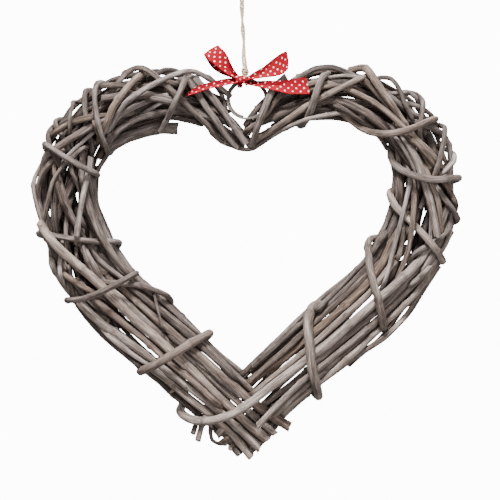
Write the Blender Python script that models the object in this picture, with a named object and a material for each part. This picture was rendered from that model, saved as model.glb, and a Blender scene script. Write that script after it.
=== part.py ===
"""Wicker heart wreath: willow rods bent into a heart, a ring, a jute loop and a ribbon bow.

Metres, +Z up, front facing -Y. The wreath hangs from its loop, and the origin is the
inside top of that loop.

Each half of the heart is a bundle of rods that follows a centreline from the dip at the
top, station 0, over a lobe and down to the crossing at the tip, station 100. A rod's
route is a few (station, lane, layer) points: lane -1 is the bundle's inner edge and 1 its
outer edge, layer 1 is its front and -1 its back.
"""

import math

import bmesh
import bpy
import numpy as np

MM = 0.001

# Driving sizes
HEART_WIDTH = 340 * MM
HEART_HEIGHT = 313 * MM
HEART_TOP_Z = -63.2 * MM
HEART_CENTRE_X = 2.8 * MM
BUNDLE_WIDTH = 53 * MM
BUNDLE_DEPTH = 40 * MM
ROD_GAP = 0.3 * MM
SETTLE_REACH = 6 * MM
ROD_SIDES = 6
ROD_STEP = 29 * MM
WRAP_STEP = 22 * MM
ROD_TAPER = 0.12
ROD_BEND = 8 * MM
BEND_SHARE = 0.42
BEND_STEP = math.radians(36)
SLIM_ROD = 5 * MM

RING_RADIUS = 15.4 * MM
RING_STRAND = 1.9 * MM
RING_X = 4.0 * MM
RING_Y = -10.0 * MM
RING_TILT = 4.0 * MM
RING_TOP_Y = RING_Y + RING_TILT
RING_Z = -89.6 * MM
RING_START = -75
RING_TURNS = 1.93
RING_SPREAD = 2.6 * MM
RING_STEPS = 38
RING_PITCH = RING_STRAND + 0.3 * MM
RING_HEIGHT = RING_STRAND + RING_SPREAD
RING_DEPTH = RING_STRAND + RING_PITCH * RING_TURNS

JUTE_DIAMETER = 1.7 * MM
JUTE_BEND = 3.4 * MM
JUTE_X = 1.5 * MM
JUTE_KNOT_X = 2.4 * MM
JUTE_KNOT_Y = RING_TOP_Y
JUTE_KNOT_Z = -63.4 * MM
JUTE_KNOT_SIZE = (4.8 * MM, 4.6 * MM, 11.0 * MM)
JUTE_TIE_X = 3.4 * MM

RIBBON_WIDTH = 13 * MM
RIBBON_THICKNESS = 0.9 * MM
BOW_X = -0.8 * MM
BOW_FORWARD = 6.2 * MM
BOW_Y = RING_TOP_Y - BOW_FORWARD
BOW_Z = -73.2 * MM
BOW_CLEARANCE = 1.6 * MM
BOW_KNOT_SIZE = (9.4 * MM, 5.2 * MM, 8.6 * MM)

# The heart's centreline, as shares of half the width across and of the height down
CENTRELINE = (
    (-0.05, 0.205), (0.00, 0.172), (0.115, 0.115), (0.27, 0.080), (0.46, 0.076),
    (0.62, 0.100), (0.75, 0.155), (0.83, 0.235), (0.845, 0.325), (0.80, 0.430),
    (0.70, 0.535), (0.56, 0.620), (0.385, 0.705), (0.21, 0.790), (0.00, 0.893),
    (-0.13, 0.960),
)
DIP_POINT = 1
TIP_POINT = 14
# Station, and the bundle's half width and half depth there as shares of its full size
SECTIONS = (
    (0, 0.21, 0.30), (6, 0.32, 0.42), (12, 0.42, 0.50), (20, 0.45, 0.52),
    (40, 0.47, 0.52), (60, 0.50, 0.48), (80, 0.53, 0.46), (100, 0.50, 0.42),
    (112, 0.45, 0.40),
)

# Each rod's thickness in millimetres and its route; a wrap goes round the bundle
LEFT_RODS = {
    "long_rod_01": (7.6, (
        (106, 0.05, 0.45), (101, 0.1, 0.5), (92, 0.06, 0.95), (82, 0.0, 0.95), (72, 0.02, 1.0),
        (64, 0.03, 1.05), (59, 0.28, 1.3), (54.2, 0.66, 1.5), (51.6, 0.84, 1.35),
        (50.2, 0.93, 0.9))),
    "long_rod_02": (6.6, (
        (57, 0.7, 0.5), (62.5, 0.9, 0.6), (66, 0.9, 0.75), (70.8, 0.76, 0.85),
        (77, 0.6, 0.9), (83, 0.53, 0.9), (90, 0.45, 1.0), (96, 0.38, 0.95),
        (101, 0.4, 0.6), (106.2, 0.44, 0.6))),
    "long_rod_03": (6.8, (
        (60, 0.9, -0.4), (65, 0.98, 0.1), (70, 0.96, 0.4), (76, 0.88, 0.6),
        (82, 0.8, 0.65), (90, 0.72, 0.8), (95.5, 0.64, 0.7), (100, 0.64, 0.45),
        (106, 0.82, 0.25))),
    "long_rod_04": (7.8, (
        (107.4, -0.74, 0.45), (103, -0.58, 0.5), (98, -0.46, 0.75), (92, -0.44, 1.0),
        (84, -0.42, 0.95), (78, -0.39, 0.95), (70, -0.4, 0.92), (64, -0.28, 0.75),
        (58, -0.15, 0.5))),
    "long_rod_06": (5.9, (
        (50, -0.55, 0.6), (60, -0.6, 0.6), (70, -0.68, 0.65), (80, -0.72, 0.75),
        (88, -0.75, 0.8), (94, -0.72, 0.8), (99, -0.68, 0.55))),
    "long_rod_07": (5.4, (
        (40, -0.7, 0.2), (47.5, -0.92, 0.2), (54, -0.95, 0.2), (62, -0.96, 0.2),
        (71, -0.95, 0.2), (82, -0.96, 0.25), (90, -0.95, 0.35), (95, -0.9, 0.4))),
    "long_rod_08": (5.7, (
        (37, -0.45, 0.5), (43, -0.6, 0.7), (48.8, -0.68, 0.9), (55, -0.7, 0.95),
        (62, -0.75, 0.9), (68, -0.8, 0.7), (74, -0.85, 0.5))),
    "side_rod_01": (5.2, (
        (37, 0.1, 0.6), (40.5, 0.48, 0.85), (43.2, 0.8, 0.85), (46.5, 0.92, 0.3),
        (50, 0.84, 0.2), (54, 0.84, 0.1), (58.5, 1.0, 0.15), (61.5, 0.98, 0.1),
        (65, 0.85, 0.45), (70, 0.6, 0.5))),
    "side_rod_02": (5.0, (
        (38, 0.5, 0.4), (42.5, 0.28, 0.8), (48.3, -0.02, 0.92), (53, -0.15, 0.9),
        (60, -0.3, 0.75), (66, -0.55, 0.6))),
    "side_rod_03": (6.4, (
        (41, -0.4, 0.25), (45.5, -0.12, 0.6), (49.5, 0.35, 0.65), (53.4, 0.7, 0.35),
        (58, 0.86, 0.1), (64, 0.72, 0.2), (68, 0.62, 0.2))),
    "side_rod_04": (5.0, (
        (37.8, -0.62, 0.4), (40.2, -0.76, 0.75), (42.5, -0.76, 0.98), (48.2, -0.52, 1.12),
        (51, -0.33, 1.12), (54.6, -0.04, 1.05))),
    "lobe_rod_01": (5.2, (
        (27.5, 0.3, 0.3), (24.4, 0.62, 0.75), (23, 0.9, 0.5), (21.5, 0.97, 0.4),
        (20, 0.9, 0.7), (18.4, 0.66, 0.95), (14.5, -0.02, 1.1), (9.5, -0.6, 1.05),
        (6.5, -0.85, 0.9), (4, -1.2, 0.6), (1.5, -1.3, 0.3), (-1, -0.9, 0.1))),
    "lobe_rod_02": (4.9, (
        (31, -0.6, 0.6), (26, -0.15, 0.95), (20, 0.25, 1.08), (14.6, 0.8, 1.1), (13.2, 0.9, 1.2),
        (10.4, 0.9, 0.6), (6, 0.85, 0.2))),
    "lobe_rod_03": (5.7, (
        (28, 0.4, 0.5), (23.5, 0.15, 0.8), (18, -0.02, 0.9), (14, -0.25, 0.85),
        (9, -0.5, 0.7), (4.5, -0.7, 0.55), (0, -0.7, 0.3))),
    "lobe_rod_04": (5.0, (
        (34, -0.75, 0.3), (27.5, -0.7, 0.7), (21.5, -0.62, 0.8), (16, -0.55, 0.8),
        (10.5, -0.5, 0.6), (5, -0.3, 0.5), (1, -0.1, 0.3))),
    "lobe_rod_05": (9.6, (
        (13.4, -1.1, 0.5), (19, -1.08, 0.55), (26, -1.1, 0.5), (31.5, -1.02, 0.35),
        (37, -0.85, 0.1))),
    "lobe_rod_06": (6.1, (
        (45, 0.8, 0.1), (40.5, 0.75, 0.5), (38.7, 0.42, 0.95), (36.3, 0.15, 1.02),
        (31.5, -0.2, 0.98), (28, -0.4, 0.6), (23, -0.45, 0.5))),
    "dip_rod_01": (6.4, (
        (14.8, 0.55, -0.5), (13.3, 0.7, 0.1), (12.2, 0.7, 0.75), (10.4, 0.52, 1.1),
        (6, 0.1, 1.2), (1.8, -0.25, 1.2), (-1.6, -0.5, 1.1))),
    "dip_rod_02": (5.7, (
        (15.4, 0.4, -0.2), (14, 0.6, 0.3), (12.8, 0.6, 0.85), (9, -0.1, 1.08),
        (4.5, -0.65, 1.05), (1.5, -0.98, 0.8), (-1, -1.1, 0.5))),
    "back_rod_01": (6.1, (
        (-3, -0.2, -0.6), (5, 0.1, -0.8), (15, -0.3, -0.9), (30, 0.35, -0.9),
        (45, 0.6, -0.85), (60, 0.4, -0.95), (75, 0.82, -0.6), (86, 0.95, -0.5),
        (96, 0.92, -0.5), (104, 0.7, -0.6))),
    "back_rod_02": (5.7, (
        (-2, -0.7, -0.2), (8, -0.7, -0.5), (20, 0.3, -0.9), (33, -0.2, -0.95),
        (48, -0.45, -0.9), (62, -0.25, -0.95), (78, -0.15, -0.95), (92, -0.1, -0.9),
        (103, -0.2, -0.9))),
}
LEFT_WRAPS = {
    "wrapping_rod_01": (4.6, (
        (24.5, 0.2, -1.0), (26.3, 0.85, -0.5), (27.2, 0.95, 0.35), (28.4, 0.62, 0.95),
        (30.8, -0.2, 1.18), (33.2, -0.85, 0.95), (34.6, -1.06, 0.5), (37.3, -1.05, 0.35),
        (40.4, -0.95, 0.3), (43, -0.88, 0.1))),
    "wrapping_rod_02": (4.8, (
        (27.4, 0.6, -0.8), (28.9, 0.92, -0.2), (29.6, 0.84, 0.55), (30.6, 0.5, 0.95),
        (32.6, 0.0, 0.95), (34.6, -0.4, 0.7), (36.4, -0.6, 0.2))),
    "wrapping_rod_03": (6.3, (
        (18.3, 0.2, -0.9), (20.2, 0.76, -0.3), (20.6, 0.82, 0.5), (22.3, 0.52, 1.0),
        (26.9, -0.1, 1.15), (30.3, -0.5, 1.0), (33.1, -0.75, 0.3))),
    "wrapping_rod_05": (5.0, (
        (13.5, 0.66, 0.8), (13.6, 0.6, 1.3), (13.9, 0.2, 1.4), (15.2, -0.4, 1.35),
        (16.6, -0.95, 1.05), (17.9, -1.27, 0.6))),
    "binding_rod_01": (5.3, (
        (41.2, 0.5, -0.9), (38.9, 0.88, -0.2), (38.6, 0.84, 0.75), (39.3, 0.35, 1.15),
        (40.4, -0.4, 1.2), (41.5, -0.82, 0.9), (42.2, -0.92, 0.2), (42, -0.6, -0.7))),
    "binding_rod_02": (5.3, (
        (54, 0.6, -0.9), (51.8, 1.04, -0.3), (51.6, 1.02, 0.45), (53.2, 0.5, 0.95),
        (56.3, -0.4, 1.15), (58.3, -0.95, 0.9), (59.4, -1.06, 0.2), (60, -0.75, -0.8))),
    "binding_rod_03": (5.3, (
        (65.2, 0.5, -1.0), (63, 0.95, -0.4), (62.8, 0.98, 0.5), (64.2, 0.75, 1.1), (65.6, 0, 1.3),
        (66.6, -0.7, 1.2), (67.2, -1.0, 0.6))),
    "binding_rod_04": (4.8, (
        (64, -0.05, 0.85), (66.8, -0.5, 0.98), (69.3, -0.78, 1.0), (72, -0.92, 0.9),
        (75, -1.05, 0.4), (76.4, -0.95, -0.3), (76.5, -0.6, -0.9), (76, 0, -1.05))),
    "binding_rod_05": (7.0, (
        (82, 0.3, -1.05), (80.5, 0.84, -0.7), (79.9, 1.0, -0.05), (80.7, 0.82, 0.8),
        (81.7, 0.4, 1.22), (82.6, -0.05, 1.28), (83.6, -0.5, 1.15), (84.6, -0.92, 0.7),
        (85.1, -1.0, 0), (84.8, -0.7, -0.8))),
}
RIGHT_RODS = {
    "long_rod_01": (7.6, (
        (48, 0.75, 0.3), (53.5, 0.6, 0.65), (57, 0.42, 0.8), (63.5, 0.12, 0.98),
        (70, 0.03, 1.0), (80, 0.0, 1.0), (88, -0.1, 0.95), (93.3, -0.18, 1.1),
        (99.5, -0.26, 1.2), (102.5, -0.43, 1.2), (105.5, -0.72, 1.25), (107.3, -1.05, 1.5),
        (108.1, -1.4, 1.2), (107.9, -1.62, 0.2), (106.8, -1.66, -1.0))),
    "long_rod_02": (5.2, (
        (49, 0.95, 0.1), (54, 0.8, 0.55), (60, 0.5, 0.85), (68, 0.3, 0.95), (76, 0.23, 0.95),
        (84, 0.2, 0.95), (89, 0.2, 0.8), (95, 0.12, 0.3), (100, 0.05, -0.05),
        (106.3, -0.3, 0.0))),
    "long_rod_03": (5.0, (
        (51, 1.02, 0.0), (55.5, 0.9, 0.45), (62, 0.6, 0.85), (71, 0.43, 0.95), (80, 0.38, 0.95),
        (86.2, 0.32, 0.95), (92, 0.34, 1.0), (96.5, 0.38, 1.0), (99.5, 0.43, 0.9))),
    "long_rod_04": (5.7, (
        (56, 1.0, 0.15), (63, 0.8, 0.7), (72, 0.62, 0.85), (80, 0.57, 0.85), (86, 0.53, 0.85),
        (91, 0.5, 0.85), (96.3, 0.52, 0.75))),
    "long_rod_05": (4.7, (
        (57, 1.05, -0.1), (65, 0.95, 0.4), (73, 0.82, 0.55), (80, 0.78, 0.55), (87, 0.75, 0.6),
        (92, 0.73, 0.55), (95.8, 0.75, 0.5))),
    "long_rod_06": (8.0, (
        (100, -0.82, 0.0), (95.2, -0.7, 0.55), (88.5, -0.55, 0.9), (82, -0.46, 0.95),
        (72, -0.46, 0.95), (64, -0.47, 0.92), (57.5, -0.6, 0.8), (50, -0.3, 0.4))),
    "long_rod_07": (7.1, (
        (45, -0.6, 0.3), (53, -0.78, 0.55), (60, -0.73, 0.75), (68, -0.79, 0.8),
        (77, -0.8, 0.7), (86, -0.78, 0.65), (94, -0.8, 0.5))),
    "long_rod_08": (4.5, (
        (44, -0.8, 0.2), (50.3, -0.99, 0.35), (57, -1.02, 0.4), (66, -1.0, 0.35),
        (78, -1.02, 0.3), (86, -1.0, 0.35), (94, -0.98, 0.3))),
    "side_rod_01": (6.8, (
        (28, -0.5, 0.4), (34.2, -0.2, 0.92), (38.6, -0.22, 1.08), (42.2, -0.13, 1.0),
        (46.6, 0.08, 1.05), (50.8, 0.42, 1.05), (53.2, 0.62, 1.0))),
    "side_rod_03": (5.0, (
        (37, -0.6, 0.4), (44, -0.37, 0.85), (50, -0.28, 1.02), (56, -0.05, 1.02), (61, 0.11, 0.9),
        (67, 0.2, 0.6))),
    "side_rod_04": (4.5, (
        (32, 0.2, 0.6), (35.6, 0.72, 0.65), (37.2, 1.0, 0.45), (39.5, 1.02, 0.4), (42.5, 0.97, 0.4),
        (46, 0.85, 0.3), (50.4, 1.02, 0.3), (53, 0.75, 0.75), (56.5, 0.35, 0.85),
        (61, -0.1, 0.75))),
    "lobe_rod_01": (5.0, (
        (-1.5, -0.55, 0.7), (1.4, -0.75, 0.85), (6, -0.8, 0.98), (11, -0.48, 1.02),
        (15.3, -0.15, 0.98), (20.3, 0.35, 1.08), (22.8, 0.75, 0.85), (23.8, 0.95, 0.2),
        (25, 0.75, -0.5))),
    "lobe_rod_02": (4.5, (
        (11, 0.45, 0.5), (16.4, 0.55, 0.92), (21.8, 0.2, 1.05), (27, 0.03, 1.1), (32.3, -0.08, 1.0),
        (37, 0.15, 0.9), (41.5, 0.55, 0.85), (45, 0.75, 0.6))),
    "lobe_rod_03": (5.2, (
        (8, 0.6, 0.3), (12.9, 0.76, 0.45), (16.4, 0.88, 0.4), (20.5, 0.83, 0.5), (24, 0.55, 0.7),
        (28.3, 0.45, 0.98), (32, 0.4, 1.05), (35, 0.75, 0.7), (37, 0.85, 0.2))),
    "lobe_rod_04": (7.3, (
        (2, 0.1, 0.3), (9.3, -0.33, 0.7), (17, -0.1, 0.75), (23, -0.3, 0.85), (29, -0.42, 0.8),
        (35, -0.5, 0.5), (41, -0.35, 0.4))),
    "lobe_rod_05": (6.1, (
        (20.5, 0.9, -0.5), (22.5, 1.03, 0.1), (23.6, 0.88, 0.8), (26, 0.45, 1.1), (29, 0.18, 1.12),
        (32, 0.0, 0.98), (37, -0.05, 0.7), (42, 0.2, 0.6))),
    "dip_rod_01": (6.1, (
        (11, 0.9, -0.2), (8.5, 0.8, 0.5), (7, 0.5, 0.98), (4.4, 0.08, 1.15), (2.3, -0.25, 1.15),
        (0.6, -0.65, 1.1), (-1.2, -0.95, 1.0))),
    "back_rod_01": (6.1, (
        (-3, -0.1, -0.2), (5, 0.2, -0.8), (15, 0.4, -0.9), (30, -0.3, -0.9), (45, 0.5, -0.85),
        (60, 0.45, -0.95), (75, 0.3, -0.9), (90, 0.4, -0.7), (103, 0.3, -0.3))),
    "back_rod_02": (5.7, (
        (-1, -0.5, -0.6), (8, -0.75, -0.5), (20, -0.2, -0.95), (33, 0.45, -0.9),
        (48, -0.4, -0.9), (62, -0.2, -0.95), (78, -0.1, -0.95), (92, -0.15, -0.7),
        (104, -0.2, -0.35))),
}
RIGHT_WRAPS = {
    "wrapping_rod_01": (6.0, (
        (19, 0.2, -1.05), (18, 0.7, -0.7), (17.5, 0.88, 0.0), (16.8, 0.78, 0.8), (16, 0.5, 1.1),
        (14.8, 0.0, 1.2), (13.4, -0.48, 1.12), (12, -0.8, 0.8), (10.6, -0.95, 0.1),
        (10, -0.7, -0.7))),
    "wrapping_rod_03": (4.6, (
        (33, 0.3, -1.0), (35.5, 0.9, -0.5), (36.4, 1.03, 0.1), (37.4, 0.87, 0.75),
        (39, 0.7, 0.98), (42.3, 0.33, 1.0), (46, 0.0, 0.75), (49, -0.1, 0.65))),
    "wrapping_rod_04": (4.6, (
        (41, 0.1, 0.6), (44.6, 0.25, 0.9), (47, 0.62, 0.98), (48.8, 0.95, 0.6), (49.8, 1.03, 0),
        (51, 0.8, -0.7), (53, 0.2, -1.0))),
    "binding_rod_01": (5.5, (
        (19, -0.4, 0.5), (22.5, -0.78, 0.78), (25.5, -0.92, 0.82), (28.5, -0.88, 0.92),
        (31, -0.68, 1.05), (33, -0.32, 1.18), (34, 0.1, 1.22), (34.4, 0.5, 1.1),
        (34.8, 0.88, 0.65), (35, 1.0, 0), (34, 0.7, -0.8))),
    "binding_rod_02": (6.5, (
        (34, -0.6, -0.7), (36.5, -0.9, 0.0), (39, -0.92, 0.6), (41, -0.76, 0.98), (43, -0.35, 1.18),
        (43.7, 0.2, 1.22), (43.6, 0.65, 1.05), (43.4, 0.94, 0.5), (43.6, 0.98, -0.2),
        (44.2, 0.7, -0.85))),
    "binding_rod_03": (6.2, (
        (45.4, -0.5, -0.9), (46, -0.92, -0.3), (47.6, -1.0, 0.4), (49.5, -0.88, 0.82),
        (51.4, -0.45, 0.88), (53.6, 0.25, 1.18), (54.8, 0.6, 1.08), (55.8, 0.92, 0.5),
        (56.2, 0.97, -0.1), (55.6, 0.7, -0.85))),
    "binding_rod_04": (6.2, (
        (56, -0.5, -0.9), (57.4, -1.05, -0.3), (59.4, -1.17, 0.4), (62.8, -0.9, 0.95),
        (65, -0.6, 1.15), (67.5, 0.0, 1.25), (69.4, 0.45, 1.18), (70.5, 0.75, 0.85),
        (70.9, 0.86, 0), (70.4, 0.6, -0.85))),
    "binding_rod_05": (8.4, (
        (75, -0.5, -0.9), (76.2, -0.96, -0.3), (77.6, -1.0, 0.5), (80, -0.85, 1.0),
        (82, -0.42, 1.25), (84.5, 0.08, 1.28), (86.2, 0.55, 1.12), (87.2, 0.86, 0.6),
        (87.6, 0.94, -0.1), (87, 0.65, -0.85))),
}

# The bow's strips: (across, up, forward) in millimetres from the bow knot, and the
# strip's width there as a share of the ribbon's
BOW_STRIPS = {
    "loop_left": (
        ((-1, 0, 1), 0.35), ((-7, 6.5, 4), 0.6), ((-15, 14.5, 6.5), 0.9),
        ((-22.5, 21.3, 6), 1.0), ((-24.8, 23.2, 2.5), 1.0), ((-22, 20.5, -0.5), 0.95),
        ((-14, 12.5, -1), 0.8), ((-6, 5, -0.5), 0.5), ((-1.2, 0.5, 0), 0.35)),
    "loop_right": (
        ((1, -0.5, 1), 0.35), ((9, 1.6, 4), 0.6), ((20, 6.6, 7), 0.95),
        ((31.5, 12.2, 6), 1.05), ((34.6, 13.6, 2.5), 1.05), ((31, 11.6, -0.5), 1.0),
        ((20, 6, -1), 0.85), ((8, 1.2, -0.5), 0.5), ((1.2, -0.6, 0), 0.35)),
    "tail_left": (
        ((-1, -1, 1.5), 0.4), ((-10, -2, 5), 0.52), ((-20, -3.8, 7.5), 0.6), ((-31, -8.5, 9), 0.52),
        ((-42, -13, 9.5), 0.2)),
    "tail_right": (
        ((1, -1.5, 1.5), 0.3), ((12, -4, 5), 0.5), ((26, -6.3, 8.5), 0.8), ((40, -7.2, 9.5), 0.95),
        ((53.5, -6.2, 9), 1.0)),
}


def remove_everything():
    for obj in list(bpy.data.objects):
        bpy.data.objects.remove(obj, do_unlink=True)


def material(name, colour, roughness):
    made = bpy.data.materials.new(name)
    made.use_nodes = True
    shader = made.node_tree.nodes["Principled BSDF"]
    shader.inputs["Base Color"].default_value = (*colour, 1)
    shader.inputs["Roughness"].default_value = roughness
    shader.inputs["Metallic"].default_value = 0
    return made


def smooth_curve(points, steps=12):
    """Points on a smooth curve through the given ones, steps for each span."""
    p = np.array(points, float)
    p = np.vstack([2 * p[0] - p[1], p, 2 * p[-1] - p[-2]])
    t = (np.arange(steps) / steps)[:, None]
    spans = []
    for a, b, c, d in zip(p, p[1:], p[2:], p[3:]):
        spans.append(0.5 * (2 * b + (c - a) * t + (2 * a - 5 * b + 4 * c - d) * t**2
                            + (3 * b - a - 3 * c + d) * t**3))
    return np.vstack([*spans, p[-2:-1]])


def lengths_along(line):
    return np.concatenate([[0], np.cumsum(np.linalg.norm(np.diff(line, axis=0), axis=1))])


def evenly(line, count):
    """The line again as count + 1 evenly spaced points."""
    along = lengths_along(line)
    at = np.linspace(0, along[-1], count + 1)
    return np.stack([np.interp(at, along, line[:, k]) for k in range(line.shape[1])], axis=1)


def rod_line(corners, steps=5):
    """Straight runs between the corners, with each corner rounded off."""
    p = np.array(corners, float)
    line = [p[0]]
    for before, corner, after in zip(p, p[1:], p[2:]):
        back, on = before - corner, after - corner
        start = corner + back * min(ROD_BEND / np.linalg.norm(back), BEND_SHARE)
        end = corner + on * min(ROD_BEND / np.linalg.norm(on), BEND_SHARE)
        for t in np.linspace(0, 1, steps):
            line.append(start * (1 - t) ** 2 + 2 * corner * t * (1 - t) + end * t**2)
    return np.array([*line, p[-1]])


def by_bends(line, step):
    """The line again with a point for each step of length, and more of them where it bends."""
    runs = np.diff(line, axis=0)
    lengths = np.linalg.norm(runs, axis=1)
    ways = runs / lengths[:, None]
    turns = np.arccos(np.clip((ways[1:] * ways[:-1]).sum(1), -1, 1))
    turns = np.concatenate([[0], turns / 2]) + np.concatenate([turns / 2, [0]])
    cost = np.concatenate([[0], np.cumsum(lengths / step + turns / BEND_STEP)])
    at = np.linspace(0, cost[-1], max(5, round(cost[-1])) + 1)
    return np.stack([np.interp(at, cost, line[:, k]) for k in range(3)], axis=1)


class Half:
    """One half of the heart; side is -1 for the left as seen from the front, 1 for the right."""

    def __init__(self, side):
        steps = 24
        points = [(HEART_CENTRE_X + side * across * HEART_WIDTH / 2, HEART_TOP_Z - down * HEART_HEIGHT)
                  for across, down in CENTRELINE]
        self.side = side
        self.line = smooth_curve(points, steps)
        along = lengths_along(self.line)
        start, tip = along[DIP_POINT * steps], along[TIP_POINT * steps]
        self.station = (along - start) / (tip - start) * 100

    def middle(self, station):
        """The centreline's x and z, carried straight on past its ends."""
        first, last = self.station[0], self.station[-1]
        held = min(max(station, first), last)
        point = np.array([np.interp(held, self.station, self.line[:, k]) for k in range(2)])
        if station < first:
            slope = (self.line[1] - self.line[0]) / (self.station[1] - self.station[0])
            point = point + slope * (station - first)
        if station > last:
            slope = (self.line[-1] - self.line[-2]) / (self.station[-1] - self.station[-2])
            point = point + slope * (station - last)
        return point

    def place(self, station, lane, layer):
        """World point of a place in the bundle."""
        ahead = self.middle(station + 0.5) - self.middle(station - 0.5)
        ahead = ahead / np.linalg.norm(ahead)
        outward = np.array([-ahead[1], ahead[0]]) * self.side
        stations, widths, depths = zip(*SECTIONS)
        half_width = np.interp(station, stations, widths) * BUNDLE_WIDTH
        half_depth = np.interp(station, stations, depths) * BUNDLE_DEPTH
        x, z = self.middle(station) + outward * lane * half_width
        roundness = math.sqrt(max(0.12, 1 - (0.93 * lane) ** 2))
        return x, -layer * half_depth * roundness, z

    def route(self, points, step):
        return by_bends(rod_line([self.place(*p) for p in points]), step)


def nearest_on_segments(a, b, c, d):
    """How far along each segment a-b and c-d their nearest points lie, as shares."""
    u, v, w = b - a, d - c, a - c
    uu, uv, vv = (u * u).sum(1), (u * v).sum(1), (v * v).sum(1)
    uw, vw = (u * w).sum(1), (v * w).sum(1)
    flat = np.maximum(uu * vv - uv * uv, 1e-18)
    s = np.clip((uv * vw - vv * uw) / flat, 0, 1)
    t = np.clip((uv * s + vw) / vv, 0, 1)
    s = np.clip((uv * t - uw) / uu, 0, 1)
    return s, t


def settle(routes, radii, held, rounds=160):
    """Presses the rods apart until no two are nearer than a gap, mostly by their depth.

    Routes in held stay where they are. Returns the moved routes.
    """
    starts = np.cumsum([0] + [len(r) for r in routes])
    points = np.vstack(routes)
    rest = points.copy()
    owner = np.repeat(np.arange(len(routes)), [len(r) for r in routes])
    first = np.array([i for r, s in zip(routes, starts) for i in range(s, s + len(r) - 1)])
    thick = np.array([radii[owner[i]] for i in first])
    loose = np.array([i not in held for i in range(len(routes))])[owner]
    inner = np.setdiff1d(np.arange(len(points)), np.concatenate([starts[:-1], starts[1:] - 1]))
    inner = inner[loose[inner]]
    reach = thick.max() * 2 + ROD_GAP + SETTLE_REACH
    favour = np.array([0.3, 1.0, 0.3])
    homing = np.array([0.06, 0, 0.06])
    for turn in range(rounds):
        if turn % 8 == 0:
            middles = (points[first] + points[first + 1]) / 2
            halves = np.linalg.norm(points[first + 1] - points[first], axis=1) / 2
            apart = np.linalg.norm(middles[:, None] - middles[None], axis=2)
            near = apart < halves[:, None] + halves[None] + reach
            near &= owner[first][:, None] < owner[first][None]
            one, two = np.nonzero(near)
        i, j = first[one], first[two]
        s, t = nearest_on_segments(points[i], points[i + 1], points[j], points[j + 1])
        s, t = s[:, None], t[:, None]
        gap = (points[i] * (1 - s) + points[i + 1] * s) - (points[j] * (1 - t) + points[j + 1] * t)
        far = np.linalg.norm(gap, axis=1)
        short = thick[one] + thick[two] + ROD_GAP * 1.3 - far
        hit = short > 0
        if not hit.any() and turn > 20:
            break
        push = gap[hit] / np.maximum(far[hit], 1e-6)[:, None] * favour
        push[:, 1] += np.where(np.abs(push[:, 1]) < 0.25, 0.25, 0) * np.sign(gap[hit][:, 1] + 1e-9)
        push *= (short[hit] * 0.5)[:, None]
        move, weight = np.zeros_like(points), np.full(len(points), 1e-9)
        for index, share, sign in ((i, 1 - s, 1), (i + 1, s, 1), (j, 1 - t, -1), (j + 1, t, -1)):
            share = share[hit]
            np.add.at(move, index[hit], sign * push * share)
            np.add.at(weight, index[hit], share[:, 0] ** 2)
        move = move / np.maximum(weight, 0.6)[:, None]
        points[loose] += move[loose]
        if turn < rounds - 60:
            bend = (points[inner - 1] + points[inner + 1]) / 2 - points[inner]
            rest_bend = (rest[inner - 1] + rest[inner + 1]) / 2 - rest[inner]
            points[inner] += 0.25 * (bend - rest_bend)
            points[loose] += homing * (rest[loose] - points[loose])
    return [points[a:b] for a, b in zip(starts, starts[1:])]


def sweep(route, profile):
    """Vertices and faces of a closed solid: the profile's (u, v) points carried along the route.

    The profile is a function of the place along the route, from 0 to 1, and the frame
    turns no more than the route does.
    """
    ahead = np.gradient(route, axis=0)
    ahead[1:-1] = [b / np.linalg.norm(b) + a / np.linalg.norm(a)
                   for a, b in zip(np.diff(route, axis=0), np.diff(route, axis=0)[1:])]
    ahead /= np.linalg.norm(ahead, axis=1)[:, None]
    u = np.cross(ahead[0], (0, 1, 0) if abs(ahead[0][1]) < 0.9 else (1, 0, 0))
    verts, faces = [], []
    for k, (place, way) in enumerate(zip(route, ahead)):
        u = u - way * np.dot(u, way)
        u = u / np.linalg.norm(u)
        v = np.cross(way, u)
        outline = profile(k / (len(route) - 1))
        verts += [tuple(place + u * a + v * b) for a, b in outline]
    sides, rings = len(outline), len(route)
    for k in range(rings - 1):
        for e in range(sides):
            a, b = sides * k + e, sides * k + (e + 1) % sides
            faces.append((a, b, b + sides, a + sides))
    faces.append(tuple(range(sides))[::-1])
    faces.append(tuple(sides * (rings - 1) + e for e in range(sides)))
    return verts, faces


def solid(name, verts, faces, finish=None):
    mesh = bpy.data.meshes.new(name)
    mesh.from_pydata(verts, [], faces)
    work = bmesh.new()
    work.from_mesh(mesh)
    bmesh.ops.recalc_face_normals(work, faces=work.faces)
    work.to_mesh(mesh)
    work.free()
    obj = bpy.data.objects.new(name, mesh)
    bpy.context.scene.collection.objects.link(obj)
    if finish:
        mesh.materials.append(finish)
    return obj


def tube(name, route, radius, taper=0.0, finish=None, sides=ROD_SIDES):
    """A rod along the route, thinner towards its last point by the taper."""
    turns = [2 * math.pi * e / sides for e in range(sides)]

    def profile(share):
        r = radius * (1 - taper * share)
        return [(r * math.cos(t), r * math.sin(t)) for t in turns]

    return solid(name, *sweep(route, profile), finish)


def ball(name, centre, size, finish=None, sides=10, bands=6):
    """A faceted ellipsoid, its poles up and down."""
    verts = [(centre[0], centre[1], centre[2] - size[2] / 2)]
    for band in range(1, bands):
        up = -math.cos(math.pi * band / bands)
        out = math.sin(math.pi * band / bands)
        for e in range(sides):
            turn = 2 * math.pi * (e + 0.37) / sides
            verts.append((centre[0] + out * math.cos(turn) * size[0] / 2,
                          centre[1] + out * math.sin(turn) * size[1] / 2,
                          centre[2] + up * size[2] / 2))
    verts.append((centre[0], centre[1], centre[2] + size[2] / 2))
    last = len(verts) - 1
    faces = []
    for e in range(sides):
        near, far = 1 + e, 1 + (e + 1) % sides
        faces.append((0, far, near))
        for band in range(bands - 2):
            a, b = near + band * sides, far + band * sides
            faces.append((a, b, b + sides, a + sides))
        faces.append((near + (bands - 2) * sides, far + (bands - 2) * sides, last))
    return solid(name, verts, faces, finish)


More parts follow.
